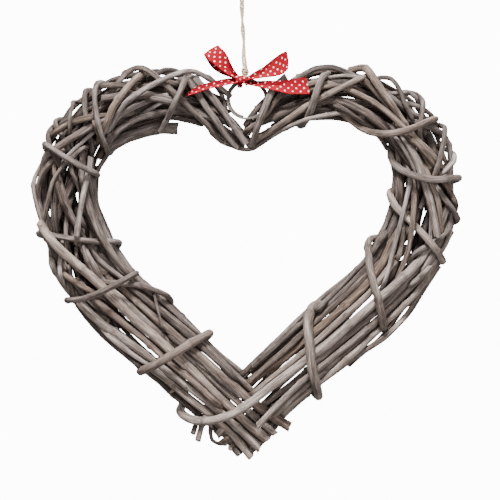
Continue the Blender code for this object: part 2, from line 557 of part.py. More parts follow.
def join(name, pieces):
    """The first piece, fused with the others into one solid of this name."""
    base, *others = pieces
    base.name = name
    for other in others:
        fuse = base.modifiers.new("fuse", "BOOLEAN")
        fuse.operation = "UNION"
        fuse.solver = "EXACT"
        fuse.use_self = True
        fuse.object = other
        bpy.context.view_layer.update()
        whole = bpy.data.meshes.new_from_object(base.evaluated_get(
            bpy.context.evaluated_depsgraph_get()))
        base.modifiers.clear()
        base.data = whole
        bpy.data.objects.remove(other, do_unlink=True)
    base.data.name = name
    return base


def ring_route():
    """Two turns of one thin rod, one in front of the other and a little wider."""
    route = []
    for k in range(RING_STEPS + 1):
        share = k / RING_STEPS
        turn = math.radians(RING_START) + share * RING_TURNS * 2 * math.pi
        radius = RING_RADIUS + RING_SPREAD * (0.5 - share)
        depth = RING_Y + RING_TILT * math.sin(turn) + RING_PITCH * RING_TURNS * (share - 0.5)
        route.append((RING_X + radius * math.cos(turn), depth, RING_Z + radius * math.sin(turn)))
    return np.array(route)


def jute_route():
    """Up one strand from the knot, round the hook's place and down the other strand."""
    side = JUTE_DIAMETER / 2 + 0.06 * MM
    foot = JUTE_KNOT_Z
    top = JUTE_DIAMETER / 2
    points = (
        (JUTE_KNOT_X - side * 1.1, JUTE_KNOT_Y, foot), (JUTE_X - side, JUTE_KNOT_Y * 0.8, foot * 0.88),
        (JUTE_X, side, foot * 0.68), (JUTE_X * 0.5 + side, 0.4 * MM, foot * 0.54),
        (0.3 * MM, -side, foot * 0.42), (-side, 0, foot * 0.26), (-side * 1.15, 0, foot * 0.15),
        (-JUTE_BEND, 0, top - JUTE_BEND * 1.1), (-JUTE_BEND * 0.72, 0, top - JUTE_BEND * 0.3),
        (0, 0, top),
        (JUTE_BEND * 0.72, 0, top - JUTE_BEND * 0.3), (JUTE_BEND, 0, top - JUTE_BEND * 1.1),
        (side * 1.15, 0, foot * 0.15), (side, 0, foot * 0.26), (0.3 * MM, side, foot * 0.42),
        (JUTE_X * 0.5 - side, -0.2 * MM, foot * 0.54), (JUTE_X, -side, foot * 0.68),
        (JUTE_X + side, JUTE_KNOT_Y * 0.8, foot * 0.88), (JUTE_KNOT_X + side * 1.1, JUTE_KNOT_Y, foot),
    )
    line = smooth_curve(points)
    return evenly(line, round(lengths_along(line)[-1] / (JUTE_DIAMETER * 2.3)))


def loop_round_ring(x, thickness, clear, steps=10):
    """A route round the ring's top at x, both ends at its top: a twine or ribbon turn."""
    ring_z = RING_Z + math.sqrt(RING_RADIUS**2 - (x - RING_X) ** 2)
    deep = RING_DEPTH / 2 + clear + thickness / 2
    high = RING_HEIGHT / 2 + clear + thickness / 2
    slope = -(x - RING_X) / (ring_z - RING_Z)
    route = []
    for k in range(steps + 1):
        turn = math.radians(105 + 330 * k / steps)
        up = high * math.sin(turn)
        route.append((x - slope * up * 0.6, RING_TOP_Y + deep * math.cos(turn), ring_z + up))
    return np.array(route)


def strip_lines(stations):
    """A ribbon strip's middle line, its half widths and the direction across it."""
    line = smooth_curve([(*place, width) for place, width in stations])
    line = evenly(line, 2 * len(stations) - 1)
    middle = np.stack([BOW_X + line[:, 0] * MM, BOW_Y - line[:, 2] * MM,
                       BOW_Z + line[:, 1] * MM], axis=1)
    run = middle[len(middle) // 2] - middle[0]
    across = np.array([-run[2], 0, run[0]]) / math.hypot(run[0], run[2])
    return middle, line[:, 3] * RIBBON_WIDTH / 2, across


def strip(name, stations, thickness):
    """A ribbon strip: a closed thin band through (place, width share) stations."""
    middle, halves, across = strip_lines(stations)
    ahead = np.gradient(middle, axis=0)
    ahead /= np.linalg.norm(ahead, axis=1)[:, None]
    verts, faces = [], []
    for place, half, way in zip(middle, halves, ahead):
        normal = np.cross(way, across)
        normal /= np.linalg.norm(normal)
        for u, v in ((-1, -1), (1, -1), (1, 1), (-1, 1)):
            verts.append(tuple(place + across * u * half + normal * v * thickness / 2))
    rings = len(middle)
    for k in range(rings - 1):
        for e in range(4):
            a, b = 4 * k + e, 4 * k + (e + 1) % 4
            faces.append((a, b, b + 4, a + 4))
    faces.append((3, 2, 1, 0))
    faces.append(tuple(4 * (rings - 1) + e for e in range(4)))
    return solid(name, verts, faces)


def build_rods(willow):
    """All rods of both halves, pressed apart, with the ring left where it is."""
    names, routes, radii = [], [], []
    for side, half_name, tables in ((-1, "left", (LEFT_RODS, LEFT_WRAPS)),
                                    (1, "right", (RIGHT_RODS, RIGHT_WRAPS))):
        half = Half(side)
        for table, step in zip(tables, (ROD_STEP, WRAP_STEP)):
            for name, (thickness, points) in table.items():
                kind, number = name.rsplit("_", 1)
                names.append(f"{kind}_{half_name}_{number}")
                routes.append(half.route(points, step))
                radii.append(thickness * MM / 2)
    ring = ring_route()
    kept_off = [(ring, RING_STRAND / 2)]
    for stations in BOW_STRIPS.values():
        middle, halves, across = strip_lines(stations)
        for lane in (-0.75, 0, 0.75):
            kept_off.append((middle + across * (halves * lane)[:, None], BOW_CLEARANCE))
    for route, radius in kept_off:
        routes.append(route)
        radii.append(radius)
    settled = settle(routes, radii, held=range(len(names), len(routes)))
    for name, route, radius in zip(names, settled, radii):
        tube(name, route, radius, ROD_TAPER if radius > SLIM_ROD / 2 else ROD_TAPER / 2, willow)
    tube("hanging_ring", ring, RING_STRAND / 2, 0, willow)


def build_loop(jute):
    loop = tube("jute_loop", jute_route(), JUTE_DIAMETER / 2, 0, jute)
    knot = ball("jute_knot", (JUTE_KNOT_X, JUTE_KNOT_Y, JUTE_KNOT_Z - JUTE_KNOT_SIZE[2] * 0.35),
                JUTE_KNOT_SIZE)
    tie = tube("jute_tie", loop_round_ring(JUTE_TIE_X, JUTE_DIAMETER, 0.3 * MM), JUTE_DIAMETER / 2)
    join("jute_loop", (loop, knot, tie))


def build_bow(red):
    knot = ball("bow_knot", (BOW_X, BOW_Y, BOW_Z), BOW_KNOT_SIZE, red, 12, 6)
    strips = [strip(name, stations, RIBBON_THICKNESS) for name, stations in BOW_STRIPS.items()]
    join("ribbon_bow", (knot, *strips))


def main():
    remove_everything()
    willow = material("willow rod", (0.28, 0.23, 0.2), 0.75)
    jute = material("jute twine", (0.62, 0.52, 0.4), 0.9)
    red = material("red dotted ribbon", (0.62, 0.03, 0.05), 0.6)
    build_rods(willow)
    build_loop(jute)
    build_bow(red)


main()
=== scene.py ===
"""The looks of the willow heart wreath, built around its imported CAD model.

Every willow rod of the CAD model is read back as a centreline and made again with bark,
joints and slanting cut ends. The thinner rods that have no solid of their own are laid
between them. The jute loop is spun from two plies, and the bow is a thin dotted ribbon.
Metres, in the CAD's own frame.
"""

import math

import bpy
import numpy as np
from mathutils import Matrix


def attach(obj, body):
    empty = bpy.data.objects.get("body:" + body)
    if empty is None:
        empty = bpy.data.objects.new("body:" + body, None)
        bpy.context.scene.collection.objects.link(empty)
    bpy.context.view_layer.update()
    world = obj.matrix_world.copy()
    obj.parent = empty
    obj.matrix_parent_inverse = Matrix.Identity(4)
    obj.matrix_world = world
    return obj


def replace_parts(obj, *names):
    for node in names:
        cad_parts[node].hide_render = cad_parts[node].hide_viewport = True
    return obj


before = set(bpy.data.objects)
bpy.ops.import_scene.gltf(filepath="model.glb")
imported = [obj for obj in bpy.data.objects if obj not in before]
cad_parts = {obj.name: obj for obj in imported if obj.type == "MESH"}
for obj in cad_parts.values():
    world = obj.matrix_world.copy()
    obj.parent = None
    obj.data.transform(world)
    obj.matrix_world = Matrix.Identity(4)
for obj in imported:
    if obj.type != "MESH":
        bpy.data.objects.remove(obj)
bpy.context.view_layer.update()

MM = 0.001

# The photograph's frame: the camera looks straight at the wreath's front
VIEW_CENTRE = (6.4 * MM, 0, -209.6 * MM)
VIEW_WIDTH = 400 * MM
VIEW_DISTANCE = 2.6

# The studio: a round floor and wall, and square lights as (name, place, size, watts)
WALL_RADIUS = 4.2
WALL_SIDES = 48
WALL_TOP_Z = 4.2
FLOOR_Z = -3.2
FLOOR_BEND = 0.8
LIT_POINT = (0, 0, -0.2)
LIGHTS = (
    ("key", (-0.35, -1.5, 1.9), 0.6, 186), ("fill", (0.9, -2.4, -0.1), 1.4, 26),
    ("top", (0.2, -0.1, 1.8), 1.2, 20), ("back", (0.5, 2.4, 0.9), 1.6, 90),
)
SKY_STRENGTH = 0.56

# The heart's driving sizes, as in the CAD model
HEART_WIDTH = 340 * MM
HEART_HEIGHT = 313 * MM
HEART_TOP_Z = -63.2 * MM
HEART_CENTRE_X = 2.8 * MM
BUNDLE_WIDTH = 53 * MM
BUNDLE_DEPTH = 40 * MM
CENTRELINE = (
    (-0.05, 0.205), (0.00, 0.172), (0.115, 0.115), (0.27, 0.080), (0.46, 0.076),
    (0.62, 0.100), (0.75, 0.155), (0.83, 0.235), (0.845, 0.325), (0.80, 0.430),
    (0.70, 0.535), (0.56, 0.620), (0.385, 0.705), (0.21, 0.790), (0.00, 0.893),
    (-0.13, 0.960),
)
DIP_POINT = 1
TIP_POINT = 14
SECTIONS = (
    (0, 0.21, 0.30), (6, 0.32, 0.42), (12, 0.42, 0.50), (20, 0.45, 0.52),
    (40, 0.47, 0.52), (60, 0.50, 0.48), (80, 0.53, 0.46), (100, 0.50, 0.42),
    (112, 0.45, 0.40),
)

# Thinner rods with no solid of their own. Each row has a rod's name, its thickness in millimetres,
# how pale and how tan its bark is, and after the colon its route's places, each as station, lane
# and layer. All but thickness and station are in hundredths
LEFT_THIN = """
wrap_01 4.4 35 20: 31 0 -100, 34 70 -75, 35.2 91 0, 35.8 78 65, 37 35 95, 38.6 0 85, 41 -40 60
wrap_02 3.2 30 20: 31 75 -50, 31.4 90 10, 32 76 85, 33.2 60 98, 34.6 40 100, 36 25 90, 38 0 70
wrap_03 4.8 18 10: 34.5 70 -60, 36 92 0, 37 90 55, 38.2 86 80, 39.4 60 85, 41 30 70
wrap_04 4.4 28 35: 28.8 80 -40, 27.6 90 20, 26.4 80 75, 24.6 62 85, 22.8 42 80, 21 20 60
side_01 3.2 50 30: 36 -40 60, 40.6 3 90, 44 38 105, 47.5 60 105, 50.5 85 90, 52.5 100 20
side_02 3.8 60 30: 44 100 10, 46.8 93 60, 49.1 90 65, 51.8 90 60, 54.5 80 50
side_03 3.6 45 20: 39 0 60, 41.5 -20 95, 44 -43 100, 47 -55 98, 50 -55 70
side_04 4 35 20: 40.5 -70 -20, 42 -86 20, 44.3 -93 45, 47.2 -90 50, 50 -80 40
side_05 4 30 60: 42 30 80, 45 13 92, 48.4 2 85, 51.4 -10 60
side_06 4 40 30: 48 -10 70, 51 13 80, 53.8 30 80, 57 55 60
side_07 3.8 75 20: 55.4 50 60, 58 76 75, 61 90 70, 63.4 85 50
side_08 3.2 55 30: 58.5 60 60, 61 67 80, 64 64 80, 67 60 60
long_01 6.4 60 35: 56 -10 60, 64 -10 65, 74 -18 75, 82 -18 85, 90 -20 98, 96 -20 92, 101 -20 55,
    106.3 -26 50
long_02 5.6 80 30: 58 90 20, 64 83 50, 71 86 60, 78 75 75, 84 70 78
long_03 5.8 50 60: 64 55 70, 69 40 92, 76 27 95, 83 28 95, 88 20 98, 93 26 95, 98 30 60
long_04 5.2 15 20: 60 -50 60, 67 -52 85, 75 -56 85, 84 -60 88, 92 -66 80, 98 -62 50
long_05 3.6 20 20: 80 -32 90, 86 -34 102, 92 -30 102, 97 -33 80
lobe_01 4.8 70 10: 29.5 -50 60, 27 -33 85, 23 -24 98, 20.2 -12 102, 18.2 -5 90
lobe_02 5 45 20: 22 10 70, 18 -6 98, 15 -20 102, 12.5 -42 102, 9.3 -52 95, 7 -50 70
lobe_03 3.4 70 10: 22 -60 75, 19.6 -43 95, 17.4 -22 95
lobe_04 4.4 12 0: 18.6 65 60, 17.2 84 60, 15.6 84 60, 14 70 60
lobe_05 4.4 20 10: 15 -75 70, 12.5 -80 75, 10.6 -82 75, 9.4 -86 65
lobe_06 3.2 55 90: 30 15 70, 31 -10 100, 31.8 -35 100, 32.4 -60 95, 33.4 -85 60
lobe_07 5.6 35 70: 37.5 80 60, 35.7 60 90, 33.6 33 100, 32 5 100, 30.7 -10 95, 29 -30 60
lobe_08 3.8 70 10: 41 20 70, 38.8 0 95, 36 -22 100, 34 -32 100, 32.3 -35 95, 30 -40 60
lobe_09 3.2 12 10: 36 70 70, 34 45 95, 32 15 95, 30.5 -10 60
side_09 4.6 40 70: 59 75 60, 61.3 55 90, 63 42 98, 64.3 30 95, 67 15 70
side_10 3.2 50 30: 55 0 70, 56.4 10 98, 57.7 20 98, 59.5 35 70
side_11 3 40 20: 55 -20 70, 56.9 -12 95, 59.3 -5 98, 62.8 -3 95, 65 0 70
side_12 2.6 25 30: 71 -95 60, 72.8 -80 100, 76.8 -45 110, 78.5 -30 80
side_14 4.6 25 30: 38 50 -30, 41 62 -20, 44 68 -10, 48 72 -10, 52 80 -10, 57 78 -30
side_13 4.4 25 30: 64 -80 -10, 70.2 -92 0, 75 -97 10, 80 -90 0, 86 -85 -10
tip_04 6.2 50 20: 98 80 -30, 101 86 0, 104.4 90 10
dip_03 4.2 10 10: 9 95 20, 7.5 75 70, 6.5 50 85, 5.5 20 60
dip_04 5 15 20: 10 35 -10, 6.2 20 -10, 4 -5 -10, 0.8 -25 -20, -1.8 -10 -40
dip_01 3.4 20 10: 9 20 50, 6.5 0 80, 3.5 -30 90, 0.5 -40 80, -3 -20 50
tip_01 6.8 55 50: 93 42 40, 98.3 42 50, 102 40 50, 105.8 39 45
tip_02 7.4 80 10: 94 62 10, 99 72 15, 102.5 76 15, 105.8 77 10
tip_05 5.4 35 40: 94.5 46 -30, 98.5 50 -25, 101.2 55 -30, 103.2 58 -30, 104.9 60 -30
tip_06 5 30 30: 95 32 -30, 99.2 26 -30, 102.2 28 -30, 105 25 -30
"""
RIGHT_THIN = """
dip_01 4.6 30 50: 14 60 30, 8.7 35 82, 5.2 -5 95, 2 0 88, -1.8 30 65
dip_05 5 22 20: 0.8 25 30, 2.2 34 75, 4.6 46 80, 7 58 60, 9 60 30
dip_06 3.4 40 20: -3.6 80 30, -3.2 50 60, -2.8 -13 85, -1.8 -82 90, -0.5 -108 90, 2 -106 80,
    4.2 -104 60, 6.5 -98 30
dip_07 5 15 20: -3 30 -30, -1.2 10 -10, 1.5 5 0, 5 25 0, 9 45 0
dip_02 2.4 15 10: 9 60 30, 6.5 55 50, 4.5 47 60, 2.5 35 60, 0.5 20 50
dip_03 3.6 25 20: 3.5 -75 70, 4.8 -90 70, 6.5 -102 60
dip_04 4.2 75 30: -1 -95 60, 2.2 -105 70, 5 -102 75, 8.5 -92 85, 11 -80 88, 13 -73 85, 17 -65 80,
    20 -56 60
lobe_01 3.2 70 20: 15.6 60 60, 17.3 66 85, 19.5 72 80, 22.2 68 60
lobe_02 4.2 30 60: 14.5 20 70, 16.5 24 95, 19 27 90, 22 30 60
lobe_03 4.8 30 50: 22 70 30, 23.6 58 85, 26.3 27 95, 28.5 10 95, 31 -10 70
lobe_04 4.8 25 30: 17.5 -10 60, 20.5 -33 92, 23.5 -57 92, 27 -70 85, 31 -75 60
lobe_05 4.2 20 10: 22.5 50 10, 24.8 90 40, 26.3 105 35, 28 88 75, 30.2 50 90, 33 30 80
lobe_06 4.2 40 20: 28.3 60 70, 29.8 93 50, 31 96 45, 32.6 80 60, 35 50 60
lobe_07 4.2 35 20: 31 60 70, 32.5 80 60, 34.3 97 30, 36 90 10
wrap_01 4.2 30 20: 27 50 -100, 29.5 90 -40, 31 103 20, 32.2 90 65, 33.6 50 90, 35.5 20 80, 38 5 70
side_01 3.8 70 10: 38 -45 60, 44 -50 90, 50 -60 110, 56.7 -52 110, 60 -40 108, 63.3 -20 95, 68 5 60
side_02 4.8 30 40: 34 -50 30, 40 -84 55, 44 -90 65, 49 -72 60, 56 -35 60, 63 -10 50
side_03 4.6 30 60: 33.5 -10 80, 36.8 8 100, 38.9 20 102, 41 33 100, 44.4 60 90, 46 78 70, 48 95 20
side_04 4.8 50 60: 41 0 80, 44.7 15 98, 47.4 40 100, 49.3 52 95, 51.6 73 70
side_05 3.4 75 10: 46 0 80, 48 14 100, 51 28 102, 53.5 42 95, 56 60 70
side_06 3.6 50 10: 32.5 -50 80, 35.5 -50 92, 39 -45 95, 43 -30 85
side_07 4.6 35 30: 40 -95 30, 43.9 -90 60, 47.3 -86 70, 50 -90 50
side_08 4.6 60 30: 49 85 0, 52 92 20, 54 88 50, 57 75 60, 62 50 70
long_01 5.6 60 40: 60 -25 70, 68 -25 85, 76 -28 90, 84 -26 92, 91 -32 90, 97 -40 50
long_02 5.2 50 30: 52 75 20, 58 65 60, 66 50 75, 74 50 85, 82 45 85, 88 44 80, 93 40 70
long_03 5.2 70 40: 54 85 0, 63 80 50, 72 72 70, 80 67 72, 87 66 72, 93 62 60
long_04 5 25 20: 56 -85 60, 63 -90 60, 71 -90 55, 80 -90 55, 90 -90 40
long_05 5.2 30 40: 62 -60 80, 70 -62 88, 79 -62 88, 88 -66 80, 95 -70 50
side_09 4.2 75 20: 40.2 100 30, 41.2 90 75, 42.1 62 100, 43.2 40 80
side_10 4.4 25 30: 50 -90 -10, 55 -96 0, 58.8 -100 10, 64.5 -95 0, 70 -88 -10
tip_07 5.4 30 30: 97.5 -80 20, 95.5 -94 60, 92.5 -100 60
tip_05 5 60 30: 104.5 -95 50, 107.4 -72 70, 109.4 -50 70
tip_06 5 12 10: 104.5 -115 30, 107 -95 45, 109.2 -78 45
tip_08 5.4 35 20: 91 60 -50, 95 74 -30, 99 85 -20, 102 90 -30, 104.5 88 -30
tip_09 5.2 25 30: 94 60 -20, 100 68 -30, 104 70 -35, 106.3 68 -30
tip_10 4.6 30 20: 96 40 -20, 101 45 -35, 104.5 50 -40, 106.4 42 -40
tip_11 5 20 20: 95 10 -30, 101 15 -40, 104.5 20 -45, 106.6 16 -40
tip_01 6.6 60 30: 94 -15 10, 98 -18 35, 102 -20 40, 106.4 -20 35
tip_02 4.6 55 70: 97 20 0, 102.5 12 25, 107 5 25
tip_03 4.4 45 30: 97 38 10, 102 35 30, 106.2 36 30
tip_04 3.2 35 20: 104 -75 50, 106.2 -46 72, 107.3 -27 72, 107.2 2 60, 105.8 25 30
"""

# How pale and how tan the bark of the CAD's rods is, in hundredths, after the number of each rod
LOOKS = """
wrapping_rod_left: 1 42 10, 2 30 20, 3 62 70, 5 50 20
binding_rod_left: 1 50 20, 2 50 20, 3 42 25, 4 40 25, 5 52 50
long_rod_left: 1 75 55, 2 70 35, 3 70 45, 4 45 55, 6 40 30, 7 40 20, 8 35 25
lobe_rod_left: 1 40 30, 2 60 10, 3 42 20, 4 40 10, 5 48 15, 6 42 35
side_rod_left: 1 50 40, 2 38 30, 3 34 40, 4 62 20
dip_rod_left: 1 50 20, 2 42 20
back_rod_left: 1 35 30, 2 35 30
wrapping_rod_right: 1 48 20, 3 40 20, 4 50 10
binding_rod_right: 1 55 55, 2 55 30, 3 68 40, 4 50 35, 5 55 35
long_rod_right: 1 72 35, 2 60 30, 3 55 35, 4 62 40, 5 55 30, 6 40 85, 7 25 20, 8 45 20
lobe_rod_right: 1 58 50, 2 58 60, 3 30 10, 4 22 30, 5 50 55
side_rod_right: 1 66 30, 3 42 50, 4 50 10
dip_rod_right: 1 52 20
back_rod_right: 1 35 30, 2 35 30
hanging_ring: 0 45 0
"""

# Inner rods, laid by rule behind the ones that are listed: how many wander through
# each half, how thick they are, and sets that lie side by side, as (how many, lanes from and to,
# stations where they start, stations where they end)
INNER_RODS = 20
INNER_THICKNESS = (3.4 * MM, 5.6 * MM)
SIDE_BY_SIDE = (
    (10, (-0.72, 0.5), (3, 10), (42, 50)), (3, (0.5, 0.8), (8, 13), (46, 54)),
    (8, (-0.88, 0.75), (36, 48), (96, 100)),
)

# Where an inner rod starts, how many stations it runs, how far it drifts at each of its places,
# the layers of those that lie side by side, and how pale and tan they all are; their bark is kept
# dark as painted shade, for they lie deep in the bundle
INNER_START = (4, 58)
INNER_RUN = (35, 45)
LANE_DRIFT = 0.35
LAYER_DRIFT = 0.25
DEEP_LAYERS = (-0.75, -0.1)
INNER_PALE_AND_SHADE = (8, 26)
INNER_TAN = (10, 60)

# How far a thin rod is carried on at each end, how deep it dives there, and from which station
# on it isn't carried on
CARRY = 3.5
DIVE_LAYER = -0.5
NEAR_TIP = 98

# How finely rods are made, how gently they bend, and how near a neighbour must be for the painted crease
# shade that darkens them
ROD_STEP = 1.5 * MM
ROD_SIDES = 14
FINE_SIDES = 8
ROD_BEND = 6 * MM
BEND_SHARE = 0.42
SUPPLENESS = 0.6
CORNER_STEPS = 6
CURVE_STEPS = 8
CREASE_SHADE_REACH = 2.4 * MM

# How uneven a rod is, as (share of its thickness, length of the waves, waves around; none for one
# at each of its sides)
UNEVEN = ((0.05, 14 * MM, 3), (0.035, 6 * MM, 6), (0.045, 25 * MM, None))

# How far a rod's section turns along it, how flat and how ribbed that is, and how far its middle
# wanders, in waves of what length
TWIST = 1.2
FLATNESS = (0.03, 0.09)
RIBS = (0.02, 0.05)
WANDER = 0.05
WANDER_WAVE = 18 * MM

# The bark's joints: how far apart they are, how long each one's swelling and its bud are, how
# much they swell, and how dark a joint is
JOINT_START = (10 * MM, 45 * MM)
JOINT_GAP = (32 * MM, 78 * MM)
JOINT_LENGTH = 2.4 * MM
BUD_LENGTH = 1.7 * MM
JOINT_SWELL = (0.07, 0.15)
BUD_SWELL = (0.1, 0.28)
JOINT_DARK = (0.5, 1.0)

# A rod's cut ends: how slanting they are, the wood's rim and middle as shares of the end, and how
# far the middle stands out
CUT_SLANT = (0.15, 0.75)
CUT_RIM = 0.97
CUT_MIDDLE = 0.86
CUT_BULGE = (0.05, 0.25)

# Pressing rods clear of each other: how many rounds, how many of them without stiffness, how
# often near rods are looked for again and how far off, how much each axis takes of a push, and
# how much at least goes into the depth
SETTLE_STEP = 7 * MM
SETTLE_ROUNDS = 110
LIMP_ROUNDS = 40
SEARCH_ROUNDS = 10
SEARCH_REACH = 4 * MM
STIFFNESS = 0.25
FAVOUR = (0.08, 1.0, 0.08)
LEAST_DEPTH = 0.25
SMOOTHING = 8
ROD_GAP = 0.2 * MM

# Reading the CAD's rods: the sides of a rod's rings, and a width that no rod's end exceeds
CAD_SIDES = 6
WIDEST_ROD = 12 * MM

# The ring and the jute loop, as in the CAD model
RING_RADIUS = 15.4 * MM
RING_X = 4.0 * MM
RING_TOP_Y = -6.0 * MM
RING_Z = -89.6 * MM
RING_HEIGHT = 4.5 * MM
RING_DEPTH = 6.2 * MM
JUTE_DIAMETER = 1.7 * MM
JUTE_BEND = 3.4 * MM
JUTE_X = 1.5 * MM
JUTE_KNOT_X = 2.4 * MM
JUTE_KNOT_Y = RING_TOP_Y
JUTE_KNOT_Z = -63.4 * MM
JUTE_TIE_X = 3.4 * MM
KNOT_TURNS = 4.3
KNOT_TOP_Z = -64.0 * MM
KNOT_LENGTH = 7.8 * MM
LOOP_FIBRES = 420
KNOT_FIBRES = 110
PLY_RADIUS = 0.68 * MM
PLY_OFFSET = 0.38 * MM
PLY_PITCH = 5.2 * MM

# The ribbon: its flat size, how it is made, how its folds lie, and in millimetres how far apart
# its rows of dots and the dots in a row are, and where a dot's edge starts and ends
RIBBON_WIDTH = 13 * MM
RIBBON_THICKNESS = 0.35 * MM
RIBBON_LANES = 32
RIBBON_STEP = 1.1 * MM
FOLD_DEPTH = 0.8 * MM
LEAN = 0.7
TOP_LEAN = 0.35
DOT_ROWS = 2.63
DOT_COLUMNS = 6.2
DOT_EDGE = (0.76, 0.6)

# The middle of the bow's knot
BOW = (-0.8 * MM, -12.2 * MM, -73.2 * MM)

# The bow's strips by places along them, in millimetres from the bow knot: across and up for the
# top edge, the same for the bottom edge, and forward. The cloth between the edges is always the
# ribbon's width, so where they are close it lies in folds
STRIPS = """
loop_left: -0.8 2 -4.8 0 1.5, -3.2 5.2 -9.2 2.4 4, -5.9 8.6 -15.2 6 5.5, -10.2 17.4 -20 10 7,
    -14 22.6 -25.2 14.2 6.5, -17.6 25.7 -29.6 19.2 3.8, -16 24.4 -28.2 16.6 0, -9.8 14.6 -23.4 9.2 -1,
    -5.6 6 -17.2 4.6 -0.5, -3.2 2.8 -9.4 1.2 0, -0.8 1.2 -4 -0.4 0
loop_right: 3.2 1.6 4 -1.6 1.5, 7.6 4 9.6 -0.6 4, 12 6.5 15.5 0.3 5.5, 19.2 10.4 22.4 0.8 7,
    26.9 15.2 29.2 1.9 7, 31.4 18.9 34 3.8 6, 35.6 21.7 37.4 7.4 3, 32 20.4 35.2 5.6 0,
    26 16.2 28.8 2.4 -1, 18.4 10.4 20.8 1.2 -0.5, 10.4 4.8 12 -0.2 0, 3.2 1.2 4 -1.2 0
tail_left: -3.2 0.8 -2.4 -3.6 2, -8.8 0.8 -8 -4.8 4.5, -15.2 -0.1 -15.2 -6.4 6.5, -23.2 -2.3 -22.4 -8 8,
    -30.4 -4.2 -29.6 -10 8.7, -36.8 -6.8 -35.2 -12.1 9.2, -41.2 -9.8 -39.6 -13.4 9.6,
    -44.2 -12.2 -43.2 -13.9 9.8
tail_right: 3.2 -1.2 3.2 -4.4 2, 10.4 -1.4 10.4 -6.2 4.5, 16.8 -1.3 17.6 -7.8 6.5, 23.2 -1.4 24 -9.3 8.4,
    29.6 -1.7 30.4 -10.8 9.8, 36 -1.6 37.2 -12.5 11, 43.6 -0.4 45.6 -12.9 12, 51.9 0.4 54.8 -12.7 12.5
"""


def smooth_curve(points, steps=12):
    """Points on a smooth curve through the given ones, steps for each span."""
    p = np.array(points, float)
    p = np.vstack([2 * p[0] - p[1], p, 2 * p[-1] - p[-2]])
    t = (np.arange(steps) / steps)[:, None]
    spans = []
    for a, b, c, d in zip(p, p[1:], p[2:], p[3:]):
        spans.append(0.5 * (2 * b + (c - a) * t + (2 * a - 5 * b + 4 * c - d) * t**2
                            + (3 * b - a - 3 * c + d) * t**3))
    return np.vstack([*spans, p[-2:-1]])


def lengths_along(line):
    """How far along the line each of its points is."""
    return np.concatenate([[0], np.cumsum(np.linalg.norm(np.diff(line, axis=0), axis=1))])


def evenly(line, count):
    """The line again as count + 1 evenly spaced points."""
    along = lengths_along(line)
    at = np.linspace(0, along[-1], count + 1)
    return np.stack([np.interp(at, along, line[:, k]) for k in range(line.shape[1])], axis=1)


def rod_line(corners):
    """Straight runs between the corners, with each corner rounded off."""
    p = np.array(corners, float)
    line = [p[0]]
    for before, corner, after in zip(p, p[1:], p[2:]):
        back, on = before - corner, after - corner
        start = corner + back * min(ROD_BEND / np.linalg.norm(back), BEND_SHARE)
        end = corner + on * min(ROD_BEND / np.linalg.norm(on), BEND_SHARE)
        for t in np.linspace(0, 1, CORNER_STEPS):
            line.append(start * (1 - t) ** 2 + 2 * corner * t * (1 - t) + end * t**2)
    return np.array([*line, p[-1]])


def through(points):
    """A curve through a rod's points that stays straight where they are far apart."""
    p = np.array(points, float)
    runs = np.diff(p, axis=0)
    lengths = np.linalg.norm(runs, axis=1)
    ways = runs / lengths[:, None]
    heads = np.vstack([ways[:1], ways[1:] + ways[:-1], ways[-1:]])
    heads /= np.linalg.norm(heads, axis=1)[:, None]
    t = (np.arange(CURVE_STEPS) / CURVE_STEPS)[:, None]
    spans = []
    for k, length in enumerate(lengths):
        b, c = p[k], p[k + 1]
        out, into = heads[k] * length * SUPPLENESS, heads[k + 1] * length * SUPPLENESS
        spans.append(b + out * t + (3 * (c - b) - 2 * out - into) * t**2
                     + (2 * (b - c) + out + into) * t**3)
    return np.vstack([*spans, p[-1:]])


def by_step(line, step):
    """The line again with its points about a step apart."""
    return evenly(line, max(4, round(lengths_along(line)[-1] / step)))


def rows_of(table):
    """Each row of a table as its name, the numbers after the name and the list of its places."""
    for row in table.replace("\n    ", " ").split("\n")[1:-1]:
        head, route = row.split(": ")
        name, *numbers = head.split()
        places = [[float(number) for number in place.split()] for place in route.split(", ")]
        yield name, [float(number) for number in numbers], places


class Half:
    """One half of the heart; side is -1 for the left as seen from the front, 1 for the right."""

    def __init__(self, side, name, thin):
        self.name, self.thin = name, thin
        steps = 24
        points = [(HEART_CENTRE_X + side * across * HEART_WIDTH / 2, HEART_TOP_Z - down * HEART_HEIGHT)
                  for across, down in CENTRELINE]
        self.side = side
        self.line = smooth_curve(points, steps)
        along = lengths_along(self.line)
        start, tip = along[DIP_POINT * steps], along[TIP_POINT * steps]
        self.station = (along - start) / (tip - start) * 100

    def middle(self, station):
        """The centreline's x and z, carried straight on past its ends."""
        held = np.clip(station, self.station[0], self.station[-1])
        point = np.array([np.interp(held, self.station, self.line[:, k]) for k in range(2)])
        a, b = (0, 1) if station < held else (-2, -1)
        slope = (self.line[b] - self.line[a]) / (self.station[b] - self.station[a])
        return point + slope * (station - held)

    def place(self, station, lane, layer):
        """World point of a place in the bundle."""
        ahead = self.middle(station + 0.5) - self.middle(station - 0.5)
        ahead = ahead / np.linalg.norm(ahead)
        outward = np.array([-ahead[1], ahead[0]]) * self.side
        stations, widths, depths = zip(*SECTIONS)
        half_width = np.interp(station, stations, widths) * BUNDLE_WIDTH
        half_depth = np.interp(station, stations, depths) * BUNDLE_DEPTH
        x, z = self.middle(station) + outward * lane * half_width
        roundness = math.sqrt(max(0.12, 1 - (0.93 * lane) ** 2))
        return x, -layer * half_depth * roundness, z

    def route(self, points):
        return by_step(rod_line([self.place(*p) for p in points]), SETTLE_STEP)


